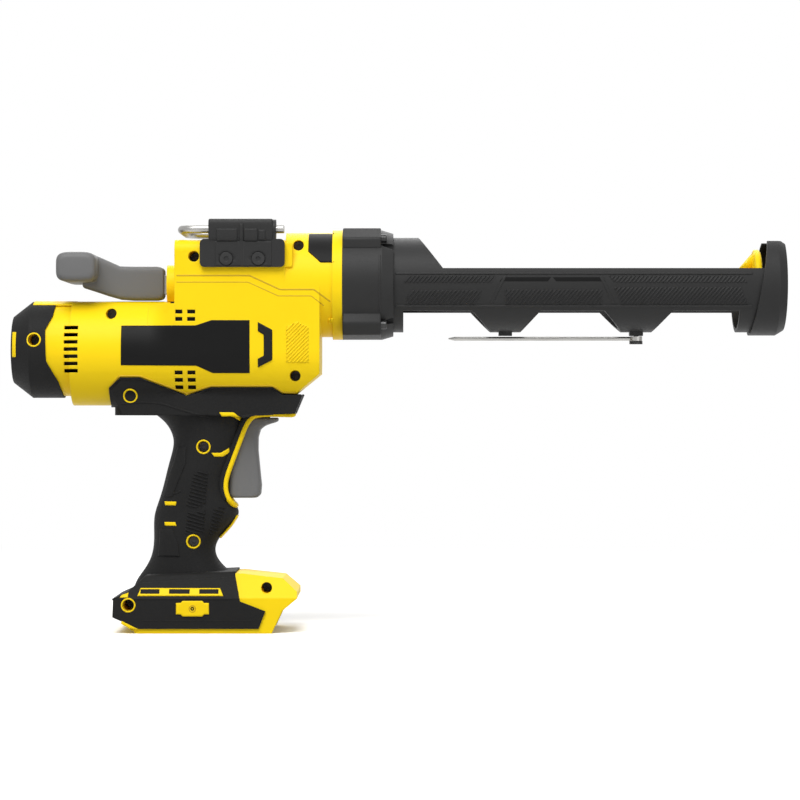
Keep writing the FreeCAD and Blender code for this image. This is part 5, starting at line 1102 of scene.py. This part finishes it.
# %% Foot slivers
SLIVERS = [
    ([(-173.6, 22.4), (-168.6, 22.4)], [(-172.6, 23.8), (-168.2, 25.4)]),
    ([(-172.8, 6.2), (-164.4, 1.4)], [(-172.4, 8.0), (-162.4, 3.0)]),
]
slivers = side_patches(SLIVERS, rise=0.5, edge=0.5, names=(*FOOT_SIDE, "shoulders"), columns=16, rows=8)
new_piece("foot_slivers", slivers, "yellow_plastic", wall=0.6)

# %% [markdown]
# ## Details of the cradle
# The cradle's sides carry fields of fine diagonal ridges, long dark slots and thin ledges. The cradle is a cylinder,
# so its depth is known and needs no measuring: a patch there is a function of the length x and the angle round the
# axis. The ridges are real geometry for the same reason as the housing's ribs.

# %% Patches on round parts
CRADLE_RADIUS = 30.0


def round_patch(x_span, z_span, radius, rise, edge=0.6, slant=0.0, columns=30, rows=10, pattern=None):
    """Raised patch on a cylinder round the cradle's axis, both sides.

    A point at length x and height z lies at the angle whose sine is z over the radius; its distance from the axis is
    the radius plus the rise with rounded borders plus a pattern. The slant shifts x with the height.
    """
    length, width = x_span[1] - x_span[0], z_span[1] - z_span[0]
    u, v = spaced(length, edge, columns), spaced(width, edge, rows)
    x = x_span[0] + u[:, None] * length + slant * (v[None, :] - 0.5) * width
    z = np.broadcast_to(z_span[0] + v[None, :] * width - CRADLE_AXIS_Z, x.shape)
    border = border_distance(u, v, length, width)
    share = quarter_round(border, edge)
    height = rise * share + (0 if pattern is None else pattern(x, z) * share)
    height = np.where(at_border(border, edge), -SUNK, height)
    angle = np.arcsin(np.clip(z / radius, -1, 1))
    out = radius + height
    points = np.stack([x, -out * np.cos(angle), CRADLE_AXIS_Z + out * np.sin(angle)], axis=-1).reshape(-1, 3)
    return both_sides(points, x.shape)


def cradle_patches(rows):
    """Surfaces of several patches on the cradle, each from its span in x, its span in z and its own shape."""
    return [surface for x_span, z_span, shape in rows
            for surface in round_patch(x_span, z_span, CRADLE_RADIUS, **shape)]


# %% Cradle ridges and weave
RIDGE_PITCH = 2.6
RIDGE_DEPTH = 0.65
RIDGE_LEAN = 0.9
RIDGE_FLOOR = -0.3
RIDGE_Z = (218.9, 223.2)


def rising_ridges(x, z):
    """Ridges that rise towards the front: a sine across their diagonal, cut off below."""
    return RIDGE_DEPTH * np.clip(np.sin(2 * math.pi * (x - RIDGE_LEAN * z) / RIDGE_PITCH), RIDGE_FLOOR, 1)


RIDGE = {"rise": 0.15, "edge": 0.4, "rows": 14, "pattern": rising_ridges}
WEAVE = {"rise": 0.1, "edge": 0.4, "pattern": rising_ridges}
ridge_fields = cradle_patches([
    ((4.9, 59.8), RIDGE_Z, {**RIDGE, "slant": 0.8, "columns": 240}),
    ((133.2, 216.5), RIDGE_Z, {**RIDGE, "slant": -0.8, "columns": 360}),
])
new_piece("cradle_ridges", ridge_fields, "black_plastic", wall=0.4)
weave = cradle_patches([
    ((5.6, 50.6), (205.6, 214.2), {**WEAVE, "slant": 0.5, "columns": 150, "rows": 26}),
    ((66.5, 127.5), (205.6, 214.6), {**WEAVE, "slant": 0.0, "columns": 190, "rows": 26}),
    ((137.0, 216.5), (205.6, 216.2), {**WEAVE, "slant": -0.5, "columns": 240, "rows": 28}),
])
new_piece("cradle_weave", weave, "black_plastic", wall=0.4)

# %% Cradle slots and frames
CRADLE_SLOT = {"rise": 0.12, "edge": 0.25}
UPRIGHT = {"rise": 0.35, "edge": 0.5, "columns": 8, "rows": 24}
LEDGE = {"edge": 0.5, "columns": 40, "rows": 6}
CRADLE_SLOT_Z, UPRIGHT_Z, LEDGE_X = (219.7, 222.4), (205.6, 223.2), (-2.0, 221.5)

# The slots' near-black is painted shade: a low raised patch stands where each slot's recess is dark.
cradle_slots = cradle_patches([
    ((64.2, 94.4), CRADLE_SLOT_Z, {**CRADLE_SLOT, "slant": 0.8}),
    ((97.5, 128.3), CRADLE_SLOT_Z, {**CRADLE_SLOT, "slant": -0.8}),
])
new_piece("cradle_slots", cradle_slots, "black_label_and_shade", wall=0.4)
frames = cradle_patches([
    ((61.4, 63.2), UPRIGHT_Z, {**UPRIGHT, "slant": 0.5}),
    ((129.6, 131.6), UPRIGHT_Z, {**UPRIGHT, "slant": -0.5}),
    (LEDGE_X, (203.9, 205.2), {**LEDGE, "rise": 0.7}),
    (LEDGE_X, (223.9, 225.4), {**LEDGE, "rise": 0.5}),
])
new_piece("cradle_frames", frames, "black_plastic", wall=0.6)

# %% [markdown]
# ## Collar
# The collar that holds the cradle carries four pads for its screws and a thin band at its front. A pad has the same
# section all along the collar, so a rounded polygon is carried along x and drawn in at both ends. The bolts are short
# round blocks with dark steel heads.

# %% Collar bosses
BOSS_X = (-35.0, -11.0)
UPPER_BOSS = [(-26.9, 240.4), (-26.9, 247.0), (-15.2, 254.2), (-13.6, 247.6), (-22.0, 238.5)]
LOWER_BOSS = [(-28.8, 200.6), (-31.4, 193.4), (-27.2, 186.4), (-17.6, 184.2), (-19.6, 192.0), (-26.0, 199.0)]
BOSS_END_RINGS = 6


def prism(corners, span, end, reach, around=64):
    """Bar along x with one rounded polygon of y and z as its section; towards both ends the section draws in to its
    middle on a quarter circle of the end distance."""
    start = [(corners[0][axis] + corners[-1][axis]) / 2 for axis in (0, 1)]
    ring = rounded_line([start, *corners, start], around + 1, reach)[:-1]
    middle = ring.mean(axis=0)
    steps = end * (1 - np.cos(np.linspace(0, math.pi / 2, BOSS_END_RINGS)))
    place = np.concatenate([span[0] + steps, span[1] - steps[::-1]])
    inset = end * (1 - quarter_round(np.minimum(place - span[0], span[1] - place), end))
    share = 1 - inset / np.linalg.norm(ring - middle, axis=1).mean()
    section = middle + (ring - middle)[None] * share[:, None, None]
    return closed(np.concatenate([np.broadcast_to(place[:, None, None], (*section.shape[:2], 1)), section], axis=-1))


bosses = [prism(corners, BOSS_X, end=0.8, reach=1.2) for corners in (UPPER_BOSS, LOWER_BOSS)]
new_piece("collar_bosses", bosses + [mirrored(boss) for boss in bosses], "black_plastic")

# %% Bolts and band of the collar
BOLT_X = (-11.6, -7.4)
BOLT_PLACES = [(-21.4, 246.8), (-26.6, 192.6)]
BOLT_RADIUS = 2.7
COLLAR_RADIUS = 34.7
BAND_X, BAND_Z = (-12.4, -11.0), (200.6, 236.4)


def rod(x_span, place, radius, end, around):
    """Round rod along x at a place of y and z, with rounded ends: a block with an elliptic section."""
    y_span, z_span = ((middle - radius, middle + radius) for middle in place)
    return block(x_span, y_span, z_span, power=2, end=end, order=ALONG_X, around=around)


bolts = [rod(BOLT_X, place, BOLT_RADIUS, end=0.6, around=32) for place in BOLT_PLACES]
new_piece("boss_bolts", [surface for bolt in bolts for surface in (bolt, mirrored(bolt))], "dark_steel")
bands = round_patch(BAND_X, BAND_Z, COLLAR_RADIUS, rise=0.35, edge=0.5, columns=8, rows=40)
new_piece("collar_bands", bands, "black_plastic", wall=0.5)

# %% [markdown]
# ## Piston
# The yellow piston behind the front ring is a disc on a short hub, with thin ribs that fall from its rim to the hub.
# The disc is a profile turned round the cradle's axis, which a Screw modifier could do too, and each rib is a flat
# triangle turned to its place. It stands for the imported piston, which has no ribs, and moves with the plunger.

# %% Piston
PISTON_PROFILE = [(212.8, 4.0), (212.8, 9.2), (223.6, 9.8), (224.6, 21.0), (225.4, 22.5), (228.0, 22.5),
                  (228.9, 21.6), (228.9, 4.0)]
PROFILE_POINTS = 80
FIN = [(213.6, 8.0), (225.0, 21.6), (225.0, 8.0)]
FIN_HALF = 1.1
FINS = 8


def turned(profile, reach, around=96):
    """Ring of a closed profile: a point at length x and radius r goes to the angle a as (x, r cos a, r sin a)."""
    line = rounded_line([*profile, profile[0]], PROFILE_POINTS, reach)[:-1]
    angle = np.linspace(0, 2 * math.pi, around, endpoint=False)
    x = np.broadcast_to(line[:, :1], (len(line), around))
    y, z = line[:, 1:] * np.cos(angle), line[:, 1:] * np.sin(angle)
    points = np.stack([x, y, CRADLE_AXIS_Z + z], axis=-1).reshape(-1, 3)
    faces = grid_faces(len(line) + 1, around, ring=True) % len(points)
    corner = points[faces]
    size = np.einsum("ij,ij->i", corner[:, 0], np.cross(corner[:, 1], corner[:, 2])).sum()
    return points, faces if size > 0 else faces[:, ::-1]


def fin(angle):
    """Triangular rib of even thickness, standing on the hub at an angle round the axis."""
    flat = np.array(FIN)
    across = np.array([-FIN_HALF, FIN_HALF])[:, None] + 0 * flat[:, 1]
    out = np.array([0, math.cos(angle), math.sin(angle)])
    beside = np.array([0, -math.sin(angle), math.cos(angle)])
    rings = flat[:, 1, None] * out + across[..., None] * beside
    rings[..., 0] += flat[:, 0]
    rings[..., 2] += CRADLE_AXIS_Z
    return closed(rings)


fins = [fin(2 * math.pi * (number + 0.5) / FINS) for number in range(FINS)]
piston = new_piece("piston_disc", [turned(PISTON_PROFILE, reach=0.5)] + fins, "yellow_plastic", body="plunger")
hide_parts("piston")

# %% [markdown]
# ## Hook bracket
# The hook turns in a rounded hinge body above the bracket's plate. Shallow pads and a rib between them stand on the
# plate and on the hinge, as moulded parts have where their screws sit. The bracket is on the right side only, so the
# patches' left halves are left out. The hook's wire comes out of the hinge in front, and that end turns with it.

# %% Hinge body and pads
HINGE_X, HINGE_Y, HINGE_Z = (-118.6, -78.4), (-37.0, -24.4), (244.2, 258.7)
BRACKET_SIDE = ("hook_bracket", "hinge")
BRACKET_PADS = [
    ((-114.4, -79.1), (229.2, 244.6), 0.45),
    ((-113.6, -100.4), (244.6, 252.4), 0.9),
    ((-96.4, -87.9), (244.6, 252.4), 0.9),
    ((-87.2, -83.0), (245.2, 251.6), 0.6),
    ((-99.4, -96.7), (229.0, 255.4), 0.8),
]

hinge = block(HINGE_X, HINGE_Y, HINGE_Z, power=5, end=1.0, order=ALONG_X)
carriers["hinge"] = new_piece("hinge_body", [hinge], "black_plastic")
pads = [side_patch(*rectangle(x_span, z_span), rise, edge=0.7, names=BRACKET_SIDE, columns=24, rows=24)[0]
        for x_span, z_span, rise in BRACKET_PADS]
new_piece("bracket_pads", pads, "black_plastic", wall=0.4)

# %% Hook end
HOOK_END_X = (-79.0, -71.4)
HOOK_AXIS = (-30.6, 252.3)
HOOK_RADIUS = 2.6

hook_end = rod(HOOK_END_X, HOOK_AXIS, HOOK_RADIUS, end=0.6, around=40)
new_piece("hook_end", [hook_end], "bright_steel", body="hang_hook")

# %% [markdown]
# ## Floor
# The tool stands on a plain white sheet that fades into the background. Near the tool it takes the shadow, and
# further out it turns into plain white, so that no horizon shows. Light that bounces off it onto the tool comes from
# a darker paper, or the underside would be too bright.

# %% Floor sheet
FLOOR_HALF = 6.0

sheet = bpy.data.meshes.new("floor")
sheet.from_pydata([(-FLOOR_HALF, -FLOOR_HALF, 0), (FLOOR_HALF, -FLOOR_HALF, 0), (FLOOR_HALF, FLOOR_HALF, 0),
                   (-FLOOR_HALF, FLOOR_HALF, 0)], [], [(0, 1, 2, 3)])
floor = bpy.data.objects.new("floor", sheet)
bpy.context.collection.objects.link(floor)
print("floor", FLOOR_HALF * 2, "m wide")

# %% Floor paper
FLOOR_FADE = (0.35, 1.1)
FLOOR_MIDDLE = (-0.12, 0.0, 0.0)
FLOOR_LEVEL = 1.22
FLOOR_BOUNCE = 0.5

paper = bpy.data.materials.new("white_paper")
paper.use_nodes = True
tree = paper.node_tree
tree.nodes.remove(tree.nodes["Principled BSDF"])
bounce = new_node(tree, "ShaderNodeBsdfDiffuse", {"Color": grey(FLOOR_BOUNCE)})
near = new_node(tree, "ShaderNodeBsdfDiffuse", {"Color": grey(FLOOR_LEVEL)})
white = tree.nodes.new("ShaderNodeEmission")
place = tree.nodes.new("ShaderNodeNewGeometry").outputs["Position"]
away = new_node(tree, "ShaderNodeVectorMath", {0: place, 1: FLOOR_MIDDLE}, operation="DISTANCE")
fade = new_node(tree, "ShaderNodeMapRange",
                {"Value": away.outputs["Value"], "From Min": FLOOR_FADE[0], "From Max": FLOOR_FADE[1]},
                interpolation_type="SMOOTHSTEP")
seen = new_node(tree, "ShaderNodeMixShader",
                {0: fade.outputs["Result"], 1: near.outputs["BSDF"], 2: white.outputs["Emission"]})
view = new_node(tree, "ShaderNodeMixShader",
                {0: looked_at(tree), 1: bounce.outputs["BSDF"], 2: seen.outputs["Shader"]})
tree.links.new(view.outputs["Shader"], tree.nodes["Material Output"].inputs["Surface"])
sheet.materials.append(paper)
print("floor paper", len(tree.nodes), "nodes")
